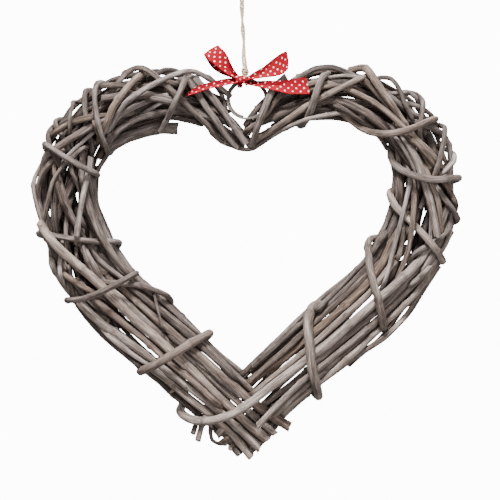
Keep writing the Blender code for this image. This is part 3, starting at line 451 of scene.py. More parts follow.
def nearest_on_segments(a, b, c, d):
    """How far along each segment a-b and c-d their nearest points lie, as shares."""
    u, v, w = b - a, d - c, a - c
    uu, uv, vv = (u * u).sum(1), (u * v).sum(1), (v * v).sum(1)
    uw, vw = (u * w).sum(1), (v * w).sum(1)
    flat = np.maximum(uu * vv - uv * uv, 1e-18)
    s = np.clip((uv * vw - vv * uw) / flat, 0, 1)
    t = np.clip((uv * s + vw) / vv, 0, 1)
    s = np.clip((uv * t - uw) / uu, 0, 1)
    return s, t


def settle(routes, radii, loose_count):
    """Presses the first loose_count rods clear of each other and of the rest, mostly by their depth."""
    starts = np.cumsum([0] + [len(r) for r in routes])
    points = np.vstack(routes)
    rest = points.copy()
    owner = np.repeat(np.arange(len(routes)), [len(r) for r in routes])
    first = np.array([i for r, s in zip(routes, starts) for i in range(s, s + len(r) - 1)])
    thick = np.array([radii[owner[i]] for i in first])
    loose = owner < loose_count
    inner = np.setdiff1d(np.arange(len(points)), np.concatenate([starts[:-1], starts[1:] - 1]))
    inner = inner[loose[inner]]
    reach = thick.max() * 2 + SEARCH_REACH
    for turn in range(SETTLE_ROUNDS):
        if turn % SEARCH_ROUNDS == 0:
            middles = (points[first] + points[first + 1]) / 2
            halves = np.linalg.norm(points[first + 1] - points[first], axis=1) / 2
            square = (middles**2).sum(1)
            apart = square[:, None] + square[None] - 2 * middles @ middles.T
            near = apart < (halves[:, None] + halves[None] + reach) ** 2
            near &= owner[first][:, None] < owner[first][None]
            near &= loose[first][:, None]
            one, two = np.nonzero(near)
        i, j = first[one], first[two]
        s, t = nearest_on_segments(points[i], points[i + 1], points[j], points[j + 1])
        s, t = s[:, None], t[:, None]
        gap = (points[i] * (1 - s) + points[i + 1] * s) - (points[j] * (1 - t) + points[j + 1] * t)
        far = np.linalg.norm(gap, axis=1)
        short = thick[one] + thick[two] + ROD_GAP - far
        hit = short > 0
        if not hit.any():
            break
        push = gap[hit] / np.maximum(far[hit], 1e-6)[:, None] * np.array(FAVOUR)
        deepen = np.where(np.abs(push[:, 1]) < LEAST_DEPTH, LEAST_DEPTH, 0)
        push[:, 1] += deepen * np.sign(gap[hit][:, 1] + 1e-9)
        share = np.where(loose[j[hit]], 0.5, 1.0)
        push *= (short[hit] * share)[:, None]
        move, weight = np.zeros_like(points), np.full(len(points), 1e-9)
        for index, part, sign in ((i, 1 - s, 1), (i + 1, s, 1), (j, 1 - t, -1), (j + 1, t, -1)):
            part = part[hit]
            np.add.at(move, index[hit], sign * push * part)
            np.add.at(weight, index[hit], part[:, 0] ** 2)
        move = move / np.maximum(weight, 0.6)[:, None]
        points[loose] += move[loose]
        if turn < SETTLE_ROUNDS - LIMP_ROUNDS:
            bend = (points[inner - 1] + points[inner + 1]) / 2 - points[inner]
            rest_bend = (rest[inner - 1] + rest[inner + 1]) / 2 - rest[inner]
            points[inner] += STIFFNESS * (bend - rest_bend)
    settled = []
    for a, b in zip(starts, starts[1:loose_count + 1]):
        shift = points[a:b] - rest[a:b]
        for _ in range(SMOOTHING):
            shift[1:-1, ::2] = (shift[:-2, ::2] + 2 * shift[1:-1, ::2] + shift[2:, ::2]) / 4
        settled.append(rest[a:b] + shift)
    return settled


def cad_rod(node):
    """Centreline and radii of a CAD rod, thick end first, from the rings of its mesh."""
    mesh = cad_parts[node].data
    corners = np.array([v.co for v in mesh.vertices], float)
    same, index = np.unique(np.round(corners / (2e-3 * MM)).astype(np.int64), axis=0,
                            return_inverse=True)
    index = index.reshape(-1)
    points = np.zeros((len(same), 3))
    np.add.at(points, index, corners)
    points /= np.bincount(index)[:, None]
    links = [set() for _ in points]
    faces = [[int(index[v]) for v in face.vertices] for face in mesh.polygons]
    for face in faces:
        for a, b in zip(face, face[1:] + face[:1]):
            links[a].add(b)
            links[b].add(a)

    def spread(start):
        """Groups of points by how many edges they are from the start group."""
        rings, seen = [sorted(start)], set(start)
        while True:
            ahead = sorted({b for a in rings[-1] for b in links[a]} - seen)
            if not ahead:
                return rings
            rings.append(ahead)
            seen.update(ahead)

    for face in faces:
        a, b, c = (points[v] for v in face[:3])
        normal = np.cross(b - a, c - a)
        normal /= np.linalg.norm(normal)
        flat = np.nonzero((np.abs((points - a) @ normal) < 0.02 * MM)
                          & (np.linalg.norm(points - a, axis=1) < WIDEST_ROD))[0]
        reach = np.linalg.norm(points[flat] - points[flat].mean(0), axis=1)
        if len(flat) == CAD_SIDES and reach.min() > 0.9 * reach.max():
            break
    rings = spread(flat.tolist())
    line = np.array([points[ring].mean(0) for ring in rings])
    radii = np.array([np.linalg.norm(points[ring] - points[ring].mean(0), axis=1).mean()
                      for ring in rings])
    if radii[0] < radii[-1]:
        line, radii = line[::-1], radii[::-1]
    return line, radii


def grid_noise(rng, along, turn, step, cells):
    """Smooth noise from -1 to 1 over a rod's skin: a random grid, closed around the rod."""
    rows = int(along[-1] / step) + 3
    values = rng.uniform(-1, 1, (rows, cells))
    row, cell = along / step, turn / (2 * math.pi) * cells
    r0, c0 = row.astype(int), cell.astype(int)
    fr, fc = row - r0, cell - c0
    fr, fc = (3 - 2 * fr) * fr**2, (3 - 2 * fc) * fc**2
    c0, c1 = c0 % cells, (c0 + 1) % cells
    top = values[r0][:, c0] * (1 - fc) + values[r0][:, c1] * fc
    low = values[r0 + 1][:, c0] * (1 - fc) + values[r0 + 1][:, c1] * fc
    return top * (1 - fr)[:, None] + low * fr[:, None]


def line_noise(rng, along, wave):
    """Smooth noise from -1 to 1 along a line."""
    return grid_noise(rng, along, np.zeros(1), wave, 2)[:, 0]


def line_frames(line):
    """Tangent and two cross directions at each point, turning no more than the line does."""
    ahead = np.gradient(line, axis=0)
    ahead /= np.linalg.norm(ahead, axis=1)[:, None]
    u = np.cross(ahead[0], (0, 1, 0) if abs(ahead[0][1]) < 0.9 else (1, 0, 0))
    across = []
    for way in ahead:
        u = u - way * np.dot(u, way)
        u = u / np.linalg.norm(u)
        across.append(u)
    across = np.array(across)
    return ahead, across, np.cross(ahead, across)


def turns(count):
    """Even angles round a circle."""
    return np.linspace(0, 2 * math.pi, count, endpoint=False)


def ring_faces(rings, sides):
    """Faces between closed rings of points that lie one after another."""
    return [(sides * k + e, sides * k + n, sides * (k + 1) + n, sides * (k + 1) + e)
            for k in range(rings - 1) for e, n in ((e, (e + 1) % sides) for e in range(sides))]


def rings_round(line, frames, reach, along):
    """Rings of points round a line, reach out from it, and their grain coordinates."""
    _, u, v = frames
    sides = reach.shape[1]
    turn = turns(sides)
    right, up = reach * np.cos(turn), reach * np.sin(turn)
    points = line[:, None] + u[:, None] * right[..., None] + v[:, None] * up[..., None]
    along = np.repeat(along[:, None], sides, 1)
    return points, np.stack([right, up, along], axis=2).reshape(-1, 3)


def put_in_scene(name, data):
    """A new object with this data, in the scene."""
    obj = bpy.data.objects.new(name, data)
    bpy.context.scene.collection.objects.link(obj)
    return obj


class Skin:
    """Vertices, faces and bark values of one or more rods, collected for one mesh."""

    def __init__(self):
        self.verts, self.faces = [], []
        self.values = {}
        self.count = 0

    def add(self, verts, faces, **values):
        self.faces += [tuple(v + self.count for v in face) for face in faces]
        self.verts.append(verts)
        self.count += len(verts)
        for name, value in values.items():
            self.values.setdefault(name, []).append(value)

    def piece(self, name, material, slot):
        """The collected skin as one piece of the wreath."""
        mesh = bpy.data.meshes.new(name)
        mesh.from_pydata(np.vstack(self.verts).tolist(), [], self.faces)
        for key, parts in self.values.items():
            data = np.concatenate(parts).astype(np.float32)
            vector = data.ndim == 2
            attribute = mesh.attributes.new(key, "FLOAT_VECTOR" if vector else "FLOAT", "POINT")
            attribute.data.foreach_set("vector" if vector else "value", data.ravel())
        mesh.materials.append(material)
        mesh.shade_smooth()
        mesh.set_sharp_from_angle(angle=math.radians(55))
        piece = put_in_scene(name, mesh)
        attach(piece, "root")
        return piece


def add_rod(skin, line, radii, rng, look, step, sides, joints=True):
    """One rod with bark: ridges along it, swollen joints with a bud scar, and slanting cuts.

    Its look is how pale and how tan it is, in hundredths.
    """
    fine = by_step(through(line), step)
    along = lengths_along(fine)
    length = along[-1]
    radius = np.interp(along / length, lengths_along(line) / lengths_along(line)[-1], radii)
    turn = turns(sides)
    frames = line_frames(fine)
    ahead, u, v = frames

    shape = np.ones((len(fine), sides))
    for share, wave, cells in UNEVEN:
        shape += share * grid_noise(rng, along, turn, wave, cells or sides)
    twist = rng.uniform(0, 6.28) + along[:, None] / length * rng.uniform(-TWIST, TWIST)
    shape += rng.uniform(*FLATNESS) * np.cos(2 * (turn[None] - twist))
    shape += rng.uniform(*RIBS) * np.cos(rng.integers(4, 6) * (turn[None] - twist * 0.8))
    joint = np.zeros((len(fine), sides))
    at = rng.uniform(*JOINT_START) if joints else length
    while at < length - 6 * MM:
        away = (along - at) / JOINT_LENGTH
        ring = np.exp(-away**2)[:, None] * (1 + 0.25 * np.cos(turn - rng.uniform(0, 6.28)))[None]
        shape += rng.uniform(*JOINT_SWELL) * ring
        bud = rng.uniform(0, 2 * math.pi)
        side_on = np.exp(-((np.cos(turn - bud) - 1) / 0.35) ** 2)
        swell = np.exp(-((along - at) / BUD_LENGTH) ** 2)
        shape += rng.uniform(*BUD_SWELL) * swell[:, None] * side_on[None]
        joint += np.exp(-(away * 1.5) ** 2)[:, None] * rng.uniform(*JOINT_DARK)
        at += rng.uniform(*JOINT_GAP)
    reach = radius[:, None] * shape
    wander = WANDER * radius[:, None] * np.stack(
        [line_noise(rng, along, WANDER_WAVE) for _ in range(2)], axis=1)
    middle = fine + u * wander[:, :1] + v * wander[:, 1:]
    skin_points, grain = rings_round(middle, frames, reach, along)
    for end, sign in ((0, 1), (-1, -1)):
        slant = rng.uniform(*CUT_SLANT) * radius[end]
        lean = rng.uniform(0, 2 * math.pi)
        shift = slant * (1 + np.cos(turn - lean))
        skin_points[end] += sign * ahead[end] * shift[:, None]

    rings = len(fine)
    verts = skin_points.reshape(-1, 3)
    faces = ring_faces(rings, sides)
    offset = rng.uniform(-5, 5, 3)
    extra, extra_grain = [], []
    for end, sign in ((0, 1), (rings - 1, -1)):
        rim = skin_points[end]
        heart = rim.mean(0)
        base = len(verts) + len(extra)
        inner = heart + (rim - heart) * CUT_MIDDLE + sign * ahead[end] * 0.06 * radius[end]
        core = heart + sign * ahead[end] * rng.uniform(*CUT_BULGE) * radius[end]
        extra += [*(heart + (rim - heart) * CUT_RIM), *inner, core]
        extra_grain += [*((rim - heart)), *((inner - heart)), np.zeros(3)]
        for e in range(sides):
            n = (e + 1) % sides
            a, b = sides * end + e, sides * end + n
            c, d, m = base + e, base + n, base + 2 * sides
            ce, dn = base + sides + e, base + sides + n
            order = ((b, a, c, d), (d, c, ce, dn), (dn, ce, m))
            faces += [face if sign > 0 else face[::-1] for face in order]
    cut = np.repeat([0.0, 1.0], [len(verts), len(extra)])
    joint = np.concatenate([joint.reshape(-1), np.zeros(len(extra))])
    skin.add(np.vstack([verts, extra]), faces, grain=np.vstack([grain, extra_grain]) + offset,
             joint=joint, cut=cut, pale=np.full(len(cut), look[0] / 100),
             tan=np.full(len(cut), look[1] / 100))


class Graph:
    """A new material, with short calls for making its shader nodes."""

    def __init__(self, name, roughness, specular):
        self.material = bpy.data.materials.new(name)
        self.material.use_nodes = True
        self.tree = self.material.node_tree
        self.shader = self.tree.nodes["Principled BSDF"]
        self.fill(self.shader, {"Roughness": roughness, "Specular IOR Level": specular})

    def fill(self, node, inputs):
        """Sets a node's inputs, each by its name or number, to a value or another node's output."""
        for key, value in inputs.items():
            if isinstance(value, bpy.types.NodeSocket):
                self.tree.links.new(value, node.inputs[key])
            else:
                node.inputs[key].default_value = value

    def node(self, kind, output, inputs, **settings):
        """One output of a new node."""
        made = self.tree.nodes.new(kind)
        for key, value in settings.items():
            setattr(made, key, value)
        self.fill(made, inputs)
        return made.outputs[output]

    def value(self, attribute, output="Fac"):
        return self.node("ShaderNodeAttribute", output, {}, attribute_name=attribute)

    def scaled(self, vector, along):
        """The grain coordinates, stretched along the rod."""
        return self.node("ShaderNodeMapping", "Vector", {"Vector": vector, "Scale": (1, 1, along)})

    def noise(self, vector, scale, detail, rough):
        return self.node("ShaderNodeTexNoise", "Fac", {
            "Vector": vector, "Scale": scale, "Detail": detail, "Roughness": rough})

    def maths(self, operation, *values):
        return self.node("ShaderNodeMath", 0, dict(enumerate(values)), operation=operation)

    def plus(self, a, b):
        return self.maths("ADD", a, b)

    def times(self, a, b):
        return self.maths("MULTIPLY", a, b)

    def size(self, value):
        return self.maths("ABSOLUTE", value)

    def spread(self, value, low, high, to_low=0.0, to_high=1.0):
        return self.node("ShaderNodeMapRange", "Result", {
            "Value": value, "From Min": low, "From Max": high, "To Min": to_low, "To Max": to_high})

    def mix(self, share, a, b, blend="MIX"):
        return self.node("ShaderNodeMix", 2, {0: share, 6: a, 7: b}, data_type="RGBA", blend_type=blend)

    def dye(self, share, a, colour):
        """Part of the way from a to a plain colour."""
        return self.mix(share, a, (*colour, 1))

    def ramp(self, value, *stops):
        made = self.tree.nodes.new("ShaderNodeValToRGB")
        while len(made.color_ramp.elements) < len(stops):
            made.color_ramp.elements.new(0.5)
        for element, (place, colour) in zip(made.color_ramp.elements, stops):
            element.position = place
            element.color = (*colour, 1)
        self.fill(made, {"Fac": value})
        return made.outputs["Color"]

    def finished(self, colour, height, strength, depth):
        """The material with this colour and with this relief, depth high."""
        bump = self.node("ShaderNodeBump", "Normal", {
            "Height": height, "Strength": strength, "Distance": depth})
        self.fill(self.shader, {"Base Color": colour, "Normal": bump})
        return self.material


def willow_bark():
    """Dry washed bark: streaks along the rod, paler patches, dark cracks and joints, and painted shade in
    the creases between rods.
    """
    g = Graph("willow_bark", 0.82, 0.22)
    grain = g.value("grain", "Vector")
    streaks = g.noise(g.scaled(grain, 0.07), 1100, 4, 0.6)
    patches = g.noise(g.scaled(grain, 0.16), 240, 3, 0.6)
    flecks = g.noise(g.scaled(grain, 0.35), 1500, 2, 0.6)
    cracks = g.noise(g.scaled(grain, 0.045), 1500, 2, 0.5)
    shade = g.plus(g.times(g.value("pale"), 0.58), g.spread(streaks, 0.3, 0.7, -0.2, 0.2))
    shade = g.plus(shade, g.spread(patches, 0.3, 0.7, -0.11, 0.18))
    shade = g.plus(shade, g.spread(flecks, 0.25, 0.75, -0.06, 0.06))
    bark = g.ramp(shade, (0.0, (0.034, 0.027, 0.025)), (0.2, (0.086, 0.068, 0.062)),
                  (0.42, (0.19, 0.16, 0.149)), (0.66, (0.41, 0.367, 0.352)), (0.95, (0.74, 0.70, 0.69)))
    bark = g.mix(g.value("tan"), bark, g.mix(1.0, bark, (1.14, 0.95, 0.75, 1), "MULTIPLY"))
    bark = g.dye(g.spread(cracks, 0.63, 0.72, 0, 0.7), bark, (0.035, 0.026, 0.021))
    bark = g.dye(g.times(g.value("joint"), 0.55), bark, (0.05, 0.037, 0.03))
    wood = g.ramp(g.noise(grain, 1300, 3, 0.55), (0.3, (0.19, 0.145, 0.11)), (0.7, (0.42, 0.35, 0.28)))
    # Painted shade: the bark colour is darkened towards near black where other rods are close by, in the
    # creases between them
    crease_openness = g.node("ShaderNodeAmbientOcclusion", "AO", {"Distance": CREASE_SHADE_REACH}, samples=6)
    painted_crease_shade = g.spread(crease_openness, 0.25, 0.85, 0.75, 0)
    colour = g.dye(painted_crease_shade, g.mix(g.value("cut"), bark, wood), (0.02, 0.016, 0.014))
    height = g.plus(g.times(streaks, 0.7), g.times(flecks, 0.35))
    height = g.maths("SUBTRACT", height, g.spread(cracks, 0.62, 0.72, 0, 0.6))
    return g.finished(colour, height, 0.55, 0.35 * MM)


def jute_twine():
    """Pale twine with fibres along its plies."""
    g = Graph("jute_twine", 0.95, 0.1)
    fibre = g.noise(g.scaled(g.value("grain", "Vector"), 0.15), 3800, 3, 0.6)
    colour = g.ramp(fibre, (0.25, (0.30, 0.19, 0.115)), (0.5, (0.54, 0.40, 0.28)),
                    (0.8, (0.76, 0.62, 0.48)))
    return g.finished(colour, fibre, 0.6, 0.12 * MM)


def willow_rods(bark):
    """Every CAD rod again, with bark. Returns the lines for the thin rods to keep clear of."""
    held = []
    nodes = sorted(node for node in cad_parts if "rod" in node or node == "hanging_ring")
    looks = {(kind, number): look for kind, _, rods in rows_of(LOOKS) for number, *look in rods}
    for number, node in enumerate(nodes):
        line, radii = cad_rod(node)
        rng = np.random.default_rng(100 + number)
        kind, _, index = node.rpartition("_")
        look = looks[(kind, int(index))] if index.isdigit() else looks[(node, 0)]
        skin = Skin()
        fine = node == "hanging_ring"
        add_rod(skin, line, radii, rng, look, ROD_STEP * (0.6 if fine else 1),
                FINE_SIDES if fine else ROD_SIDES, joints=not fine)
        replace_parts(skin.piece("willow_" + node, bark, "willow"), node)
        held.append((by_step(through(line), SETTLE_STEP * 1.3), radii.mean()))
    return held


def inner_route(rng):
    """A rod well inside the bundle, drifting from lane to lane."""
    start = rng.uniform(*INNER_START)
    stations = np.arange(start, start + rng.uniform(*INNER_RUN), 8.0)
    lane = rng.uniform(-0.8, 0.8)
    layer = rng.uniform(-0.75, 0.45)
    points = []
    for station in stations:
        points.append((station, lane, layer))
        lane = float(np.clip(lane + rng.uniform(-LANE_DRIFT, LANE_DRIFT), -0.88, 0.88))
        layer = float(np.clip(layer + rng.uniform(-LAYER_DRIFT, LAYER_DRIFT), -0.9, 0.6))
    return points


def side_by_side(rng, count, lanes, starts, ends):
    """Rods beside each other in the middle of the bundle, from lane to lane across it; their bark is
    later made dark as painted shade.
    """
    found = []
    for lane in np.linspace(*lanes, count):
        layer = rng.uniform(*DEEP_LAYERS)
        stations = np.linspace(rng.uniform(*starts), rng.uniform(*ends), 7)
        found.append([(station, lane + rng.uniform(-0.04, 0.04), layer + rng.uniform(-0.08, 0.08))
                      for station in stations])
    return found


def tucked(points):
    """A route with its ends carried on, down between the rods behind, but not past the tip."""
    def carried(before, end):
        station = end[0] + float(np.clip(end[0] - before[0], -CARRY, CARRY))
        lane = float(np.clip(end[1] * 1.5 - before[1] * 0.5, -0.85, 0.8))
        return [(station, lane, DIVE_LAYER)] if station < NEAR_TIP else []

    return carried(points[1], points[0]) + list(points) + carried(points[-2], points[-1])


def thin_rods(bark, held):
    """The listed thin rods and the inner ones, pressed clear of the rest."""
    rng = np.random.default_rng(7)
    rods = []
    halves = Half(-1, "left", LEFT_THIN), Half(1, "right", RIGHT_THIN)
    for half in halves:
        for name, (thickness, pale, tan), places in rows_of(half.thin):
            points = [(station, lane / 100, layer / 100) for station, lane, layer in places]
            if not name.startswith(("tip", "dip")):
                points = tucked(points)
            rods.append((f"thin_{half.name}_{name}", half.route(points), thickness * MM / 2,
                         (pale, tan)))
    placed = len(rods)
    for half in halves:
        inner = [inner_route(rng) for _ in range(INNER_RODS)]
        for count, lanes, starts, ends in SIDE_BY_SIDE:
            inner += side_by_side(rng, count, lanes, starts, ends)
        for points in inner:
            # Painted shade: the inner rods get dark bark because they lie deep in the bundle, with random
            # tone within that
            rods.append(("inner_" + half.name, half.route(points), rng.uniform(*INNER_THICKNESS) / 2,
                         (rng.uniform(*INNER_PALE_AND_SHADE), rng.uniform(*INNER_TAN))))
    names, routes, radii, looks = zip(*rods)
    held_routes, held_radii = zip(*held)
    settled = settle(routes + held_routes, radii + held_radii, len(routes))
    skins = {}
    for number, (name, line, radius, look) in enumerate(zip(names, settled, radii, looks)):
        skin = skins.setdefault(name, Skin())
        rng = np.random.default_rng(500 + number)
        shape = radius * np.linspace(1, rng.uniform(0.8, 0.95), len(line))
        step, sides = (ROD_STEP, ROD_SIDES) if number < placed else (ROD_STEP * 1.5, FINE_SIDES)
        add_rod(skin, line, shape, rng, look, step, sides)
    for name, skin in skins.items():
        skin.piece("willow_" + name, bark, "willow")


def add_tube(skin, line, radii, sides, offset):
    """A closed tube along the line, with a radius for each point; offset moves its grain."""
    reach = np.repeat(radii[:, None], sides, 1)
    points, grain = rings_round(line, line_frames(line), reach, lengths_along(line))
    faces = ring_faces(len(line), sides)
    last = sides * (len(line) - 1)
    faces.append(tuple(range(sides))[::-1])
    faces.append(tuple(last + e for e in range(sides)))
    skin.add(points.reshape(-1, 3), faces, grain=grain + offset)


def jute_route():
    """The CAD loop's own route: up one strand, round the hook's place and down the other."""
    side = JUTE_DIAMETER / 2 + 0.06 * MM
    foot = JUTE_KNOT_Z
    top = JUTE_DIAMETER / 2

    def strand(way, y):
        """One strand from the knot up; way is -1 for the left one, y its depth where they cross."""
        return [
            (JUTE_KNOT_X + way * side * 1.1, JUTE_KNOT_Y, foot),
            (JUTE_X + way * side, JUTE_KNOT_Y * 0.8, foot * 0.88),
            (JUTE_X, -way * side, foot * 0.68), (JUTE_X * 0.5 - way * side, y, foot * 0.54),
            (0.3 * MM, way * side, foot * 0.42), (way * side, 0, foot * 0.26),
            (way * side * 1.15, 0, foot * 0.15), (way * JUTE_BEND, 0, top - JUTE_BEND * 1.1),
            (way * JUTE_BEND * 0.72, 0, top - JUTE_BEND * 0.3)]

    points = [*strand(-1, 0.4 * MM), (0, 0, top), *strand(1, -0.2 * MM)[::-1]]
    return by_step(smooth_curve(points), 0.45 * MM)


def add_twine(skin, line, rng, ply_radius=PLY_RADIUS, offset=PLY_OFFSET):
    """Two plies laid round each other along the line, each a little uneven."""
    ahead, u, v = line_frames(line)
    along = lengths_along(line)
    wander = line_noise(rng, along, 7 * MM)
    for phase in (0, math.pi):
        turn = (2 * math.pi * along / PLY_PITCH + phase + 0.7 * wander)[:, None]
        ply = line + (u * np.cos(turn) + v * np.sin(turn)) * offset
        uneven = 1 + 0.16 * line_noise(rng, along, 2.6 * MM)
        add_tube(skin, ply, ply_radius * uneven, 8, rng.uniform(-3, 3, 3))


def add_fibres(skin, line, rng, count, reach):
    """Loose fibres that stand off a twine."""
    for _ in range(count):
        start = int(rng.integers(0, max(1, len(line) - 12)))
        run = int(rng.integers(5, 12))
        path = line[start:start + run:2]
        if len(path) < 3:
            continue
        way = rng.normal(size=3)
        way /= np.linalg.norm(way)
        lift = np.linspace(0.5, rng.uniform(1.1, 2.1), len(path)) ** 1.6 * reach * rng.uniform(0.5, 1)
        drift = rng.normal(scale=0.12 * MM, size=(len(path), 3))
        fibre = path + way * (lift[:, None] + 0.35 * MM) + drift
        add_tube(skin, fibre, np.linspace(0.05, 0.02, len(path)) * MM, 3, rng.uniform(-3, 3, 3))


def ring_top(x):
    """How high the ring's centreline is at x."""
    return RING_Z + math.sqrt(RING_RADIUS**2 - (x - RING_X) ** 2)


def round_ring(x, thickness, clear):
    """A turn round the ring's top at x, nearly closed at its own top."""
    ring_z = ring_top(x)
    deep = RING_DEPTH / 2 + clear + thickness / 2
    high = RING_HEIGHT / 2 + clear + thickness / 2
    slope = -(x - RING_X) / (ring_z - RING_Z)
    turn = np.radians(105 + 330 * np.arange(41) / 40)
    up = high * np.sin(turn)
    return np.stack([x - slope * up * 0.6, RING_TOP_Y + deep * np.cos(turn), ring_z + up], axis=1)


def jute_loop():
    """The two-ply twine loop, its knot with the tie round the ring, and its loose fibres."""
    twine = jute_twine()
    rng = np.random.default_rng(31)
    route = jute_route()
    strand = Skin()
    add_twine(strand, route, rng)
    loop = strand.piece("jute_twine_loop", twine, "jute")

    knot = Skin()
    turn = np.linspace(0, KNOT_TURNS * 2 * math.pi, 90)
    share = turn / turn[-1]
    reach = (1.3 + 1.0 * np.sin(np.pi * np.clip(share * 1.1, 0, 1)) ** 0.6) * MM
    coil = np.stack([JUTE_KNOT_X + reach * np.cos(turn), JUTE_KNOT_Y + reach * np.sin(turn),
                     KNOT_TOP_Z - share * KNOT_LENGTH], axis=1)
    add_twine(knot, by_step(coil, 0.4 * MM), rng, PLY_RADIUS * 0.9, PLY_OFFSET * 0.8)
    tie = by_step(round_ring(JUTE_TIE_X, JUTE_DIAMETER, 0.3 * MM), 0.4 * MM)
    add_twine(knot, tie, rng)
    core = np.array([(JUTE_KNOT_X, JUTE_KNOT_Y, z * MM) for z in np.linspace(-63.2, -72.6, 8)])
    add_tube(knot, core, np.array([1.0, 1.3, 1.5, 1.5, 1.5, 1.4, 1.3, 0.9]) * MM, 10, np.zeros(3))
    knotted = knot.piece("jute_twine_knot", twine, "jute")

    fuzz = Skin()
    add_fibres(fuzz, route, rng, LOOP_FIBRES, 0.45 * MM)
    add_fibres(fuzz, by_step(coil, 0.45 * MM), rng, KNOT_FIBRES, 0.5 * MM)
    fibres = fuzz.piece("jute_loose_fibres", twine, "jute")
    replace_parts(loop, "jute_loop")


def add_ribbon(skin, stations, start, left):
    """A thin closed strip of ribbon through the stations; start is how far along the ribbon it begins.

    Where its edges are closer than its width, the rest of the cloth is folded to and fro behind.
    """
    rows = smooth_curve(stations, 16)
    x0, y0, z0 = BOW
    forward = y0 - rows[:, 4] * MM
    top, low = (np.stack([x0 + rows[:, k] * MM, forward, z0 + rows[:, k + 1] * MM], axis=1)
                for k in (0, 2))
    middle = (top + low) / 2
    count = max(8, round(lengths_along(middle)[-1] / RIBBON_STEP))
    both = evenly(np.hstack([middle, top, low]), count)
    middle, top, low = both[:, :3], both[:, 3:6], both[:, 6:]
    along = lengths_along(middle)
    chords = np.linalg.norm(top - low, axis=1)
    ahead = np.gradient(middle, axis=0)
    ahead /= np.linalg.norm(ahead, axis=1)[:, None]
    lean = LEAN * np.maximum(RIBBON_WIDTH - chords, 0)
    top[:, 1] += TOP_LEAN * lean
    low[:, 1] -= (1 - TOP_LEAN) * lean
    chords = np.linalg.norm(top - low, axis=1)
    across = (top - low) / chords[:, None]
    normal = np.cross(ahead, across)
    normal /= np.linalg.norm(normal, axis=1)[:, None]
    normal *= np.sign(normal[:, 1:2])
    s = np.linspace(0, 1, RIBBON_LANES + 1)
    folds = s[None] * np.maximum(RIBBON_WIDTH / chords, 1)[:, None]
    rise = np.abs((folds + 1) % 2 - 1)
    depth = FOLD_DEPTH * folds + 0.8 * MM * np.sin(math.pi * rise) * (folds < 1)
    sheet = (low[:, None] * (1 - rise)[..., None] + top[:, None] * rise[..., None]
             + normal[:, None] * depth[..., None])
    du = np.gradient(sheet, axis=0)
    dv = np.gradient(sheet, axis=1)
    up = np.cross(du, dv)
    up /= np.maximum(np.linalg.norm(up, axis=2), 1e-12)[..., None]
    rings, lanes = sheet.shape[:2]
    front = (sheet + up * RIBBON_THICKNESS / 2).reshape(-1, 3)
    back = (sheet - up * RIBBON_THICKNESS / 2).reshape(-1, 3)
    total = rings * lanes
    faces = []
    for k in range(rings - 1):
        for e in range(lanes - 1):
            a = k * lanes + e
            faces.append((a, a + lanes, a + lanes + 1, a + 1))
            faces.append((total + a, total + a + 1, total + a + lanes + 1, total + a + lanes))
        for e in (0, lanes - 1):
            a = k * lanes + e
            rim = (a, a + lanes, total + a + lanes, total + a)
            faces.append(rim[::-1] if e == 0 else rim)
    for k in (0, rings - 1):
        for e in range(lanes - 1):
            a = k * lanes + e
            rim = (a, a + 1, total + a + 1, total + a)
            faces.append(rim if k == 0 else rim[::-1])
    run = np.repeat((start + along)[:, None], lanes, 1).reshape(-1)
    lane = np.repeat(((s - 0.5) * RIBBON_WIDTH)[None], rings, 0).reshape(-1)
    # Painted shade: one face of each strip is marked shaded and takes the darker red, the front face on
    # the left strips and the back face on the right ones
    lit_side = np.repeat([0.0, 1.0] if left else [1.0, 0.0], total)
    skin.add(np.vstack([front, back]), faces, along=np.tile(run, 2), across=np.tile(lane, 2),
             outside=lit_side)
    return start + along[-1]


def add_bow_knot(skin):
    """The band of ribbon wrapped over the bow's middle, with its folds."""
    sides, bands = 40, 24
    verts, run, lane = [], [], []
    for k in range(bands + 1):
        rise = math.pi * k / bands
        for e in range(sides):
            turn = 2 * math.pi * e / sides
            x = -math.cos(rise)
            out = math.sin(rise) ** 0.55
            y, z = out * math.cos(turn), out * math.sin(turn)
            fold = 0.10 * math.sin(5.2 * z + 2.4 * x) + 0.05 * math.sin(9 * z - 3 * x + 1)
            flare = 1 + 0.16 * x * x
            verts.append((BOW[0] + 0.1 * MM + x * 5.2 * MM,
                          BOW[1] - 1.2 * MM + y * (2.9 + 2.2 * fold) * MM,
                          BOW[2] - 0.9 * MM + z * (3.1 + fold) * flare * MM - x * 0.5 * MM))
            run.append((x * 5.6 + 0.6) * MM)
            lane.append(z * 4.6 * MM + 0.9 * MM)
    faces = [(a, d, c, b) for a, b, c, d in ring_faces(bands + 1, sides)]
    skin.add(np.array(verts), faces, along=np.array(run), across=np.array(lane),
             outside=np.ones(len(verts)))


def add_ring_band(skin):
    """The ribbon's turn round the ring's top, seen under the knot."""
    x, half, high, deep = BOW[0] - 0.9 * MM, 1.9 * MM, 4.6 * MM, RING_DEPTH / 2 + 0.8 * MM
    ring_z = ring_top(x)
    turn = turns(40)
    verts = []
    for t in turn:
        for side, out in ((-1, 0), (1, 0), (1, 1), (-1, 1)):
            reach = out * RIBBON_THICKNESS
            verts.append((x + side * half * (1 - 0.12 * math.sin(3 * t)),
                          RING_TOP_Y + (deep + reach) * math.cos(t),
                          ring_z + (high + reach) * math.sin(t)))
    faces = [tuple(v % len(verts) for v in face) for face in ring_faces(len(turn) + 1, 4)]
    # Painted shade: the band's inner face takes the darker red, and its outer face a red half way to it,
    # in shade under the knot
    across = np.tile([-2, 2, 2, -2], len(turn)) * MM
    skin.add(np.array(verts), faces, along=np.repeat(turn * 4 * MM, 4), across=across,
             outside=np.tile([0.0, 0.0, 0.5, 0.5], len(turn)))


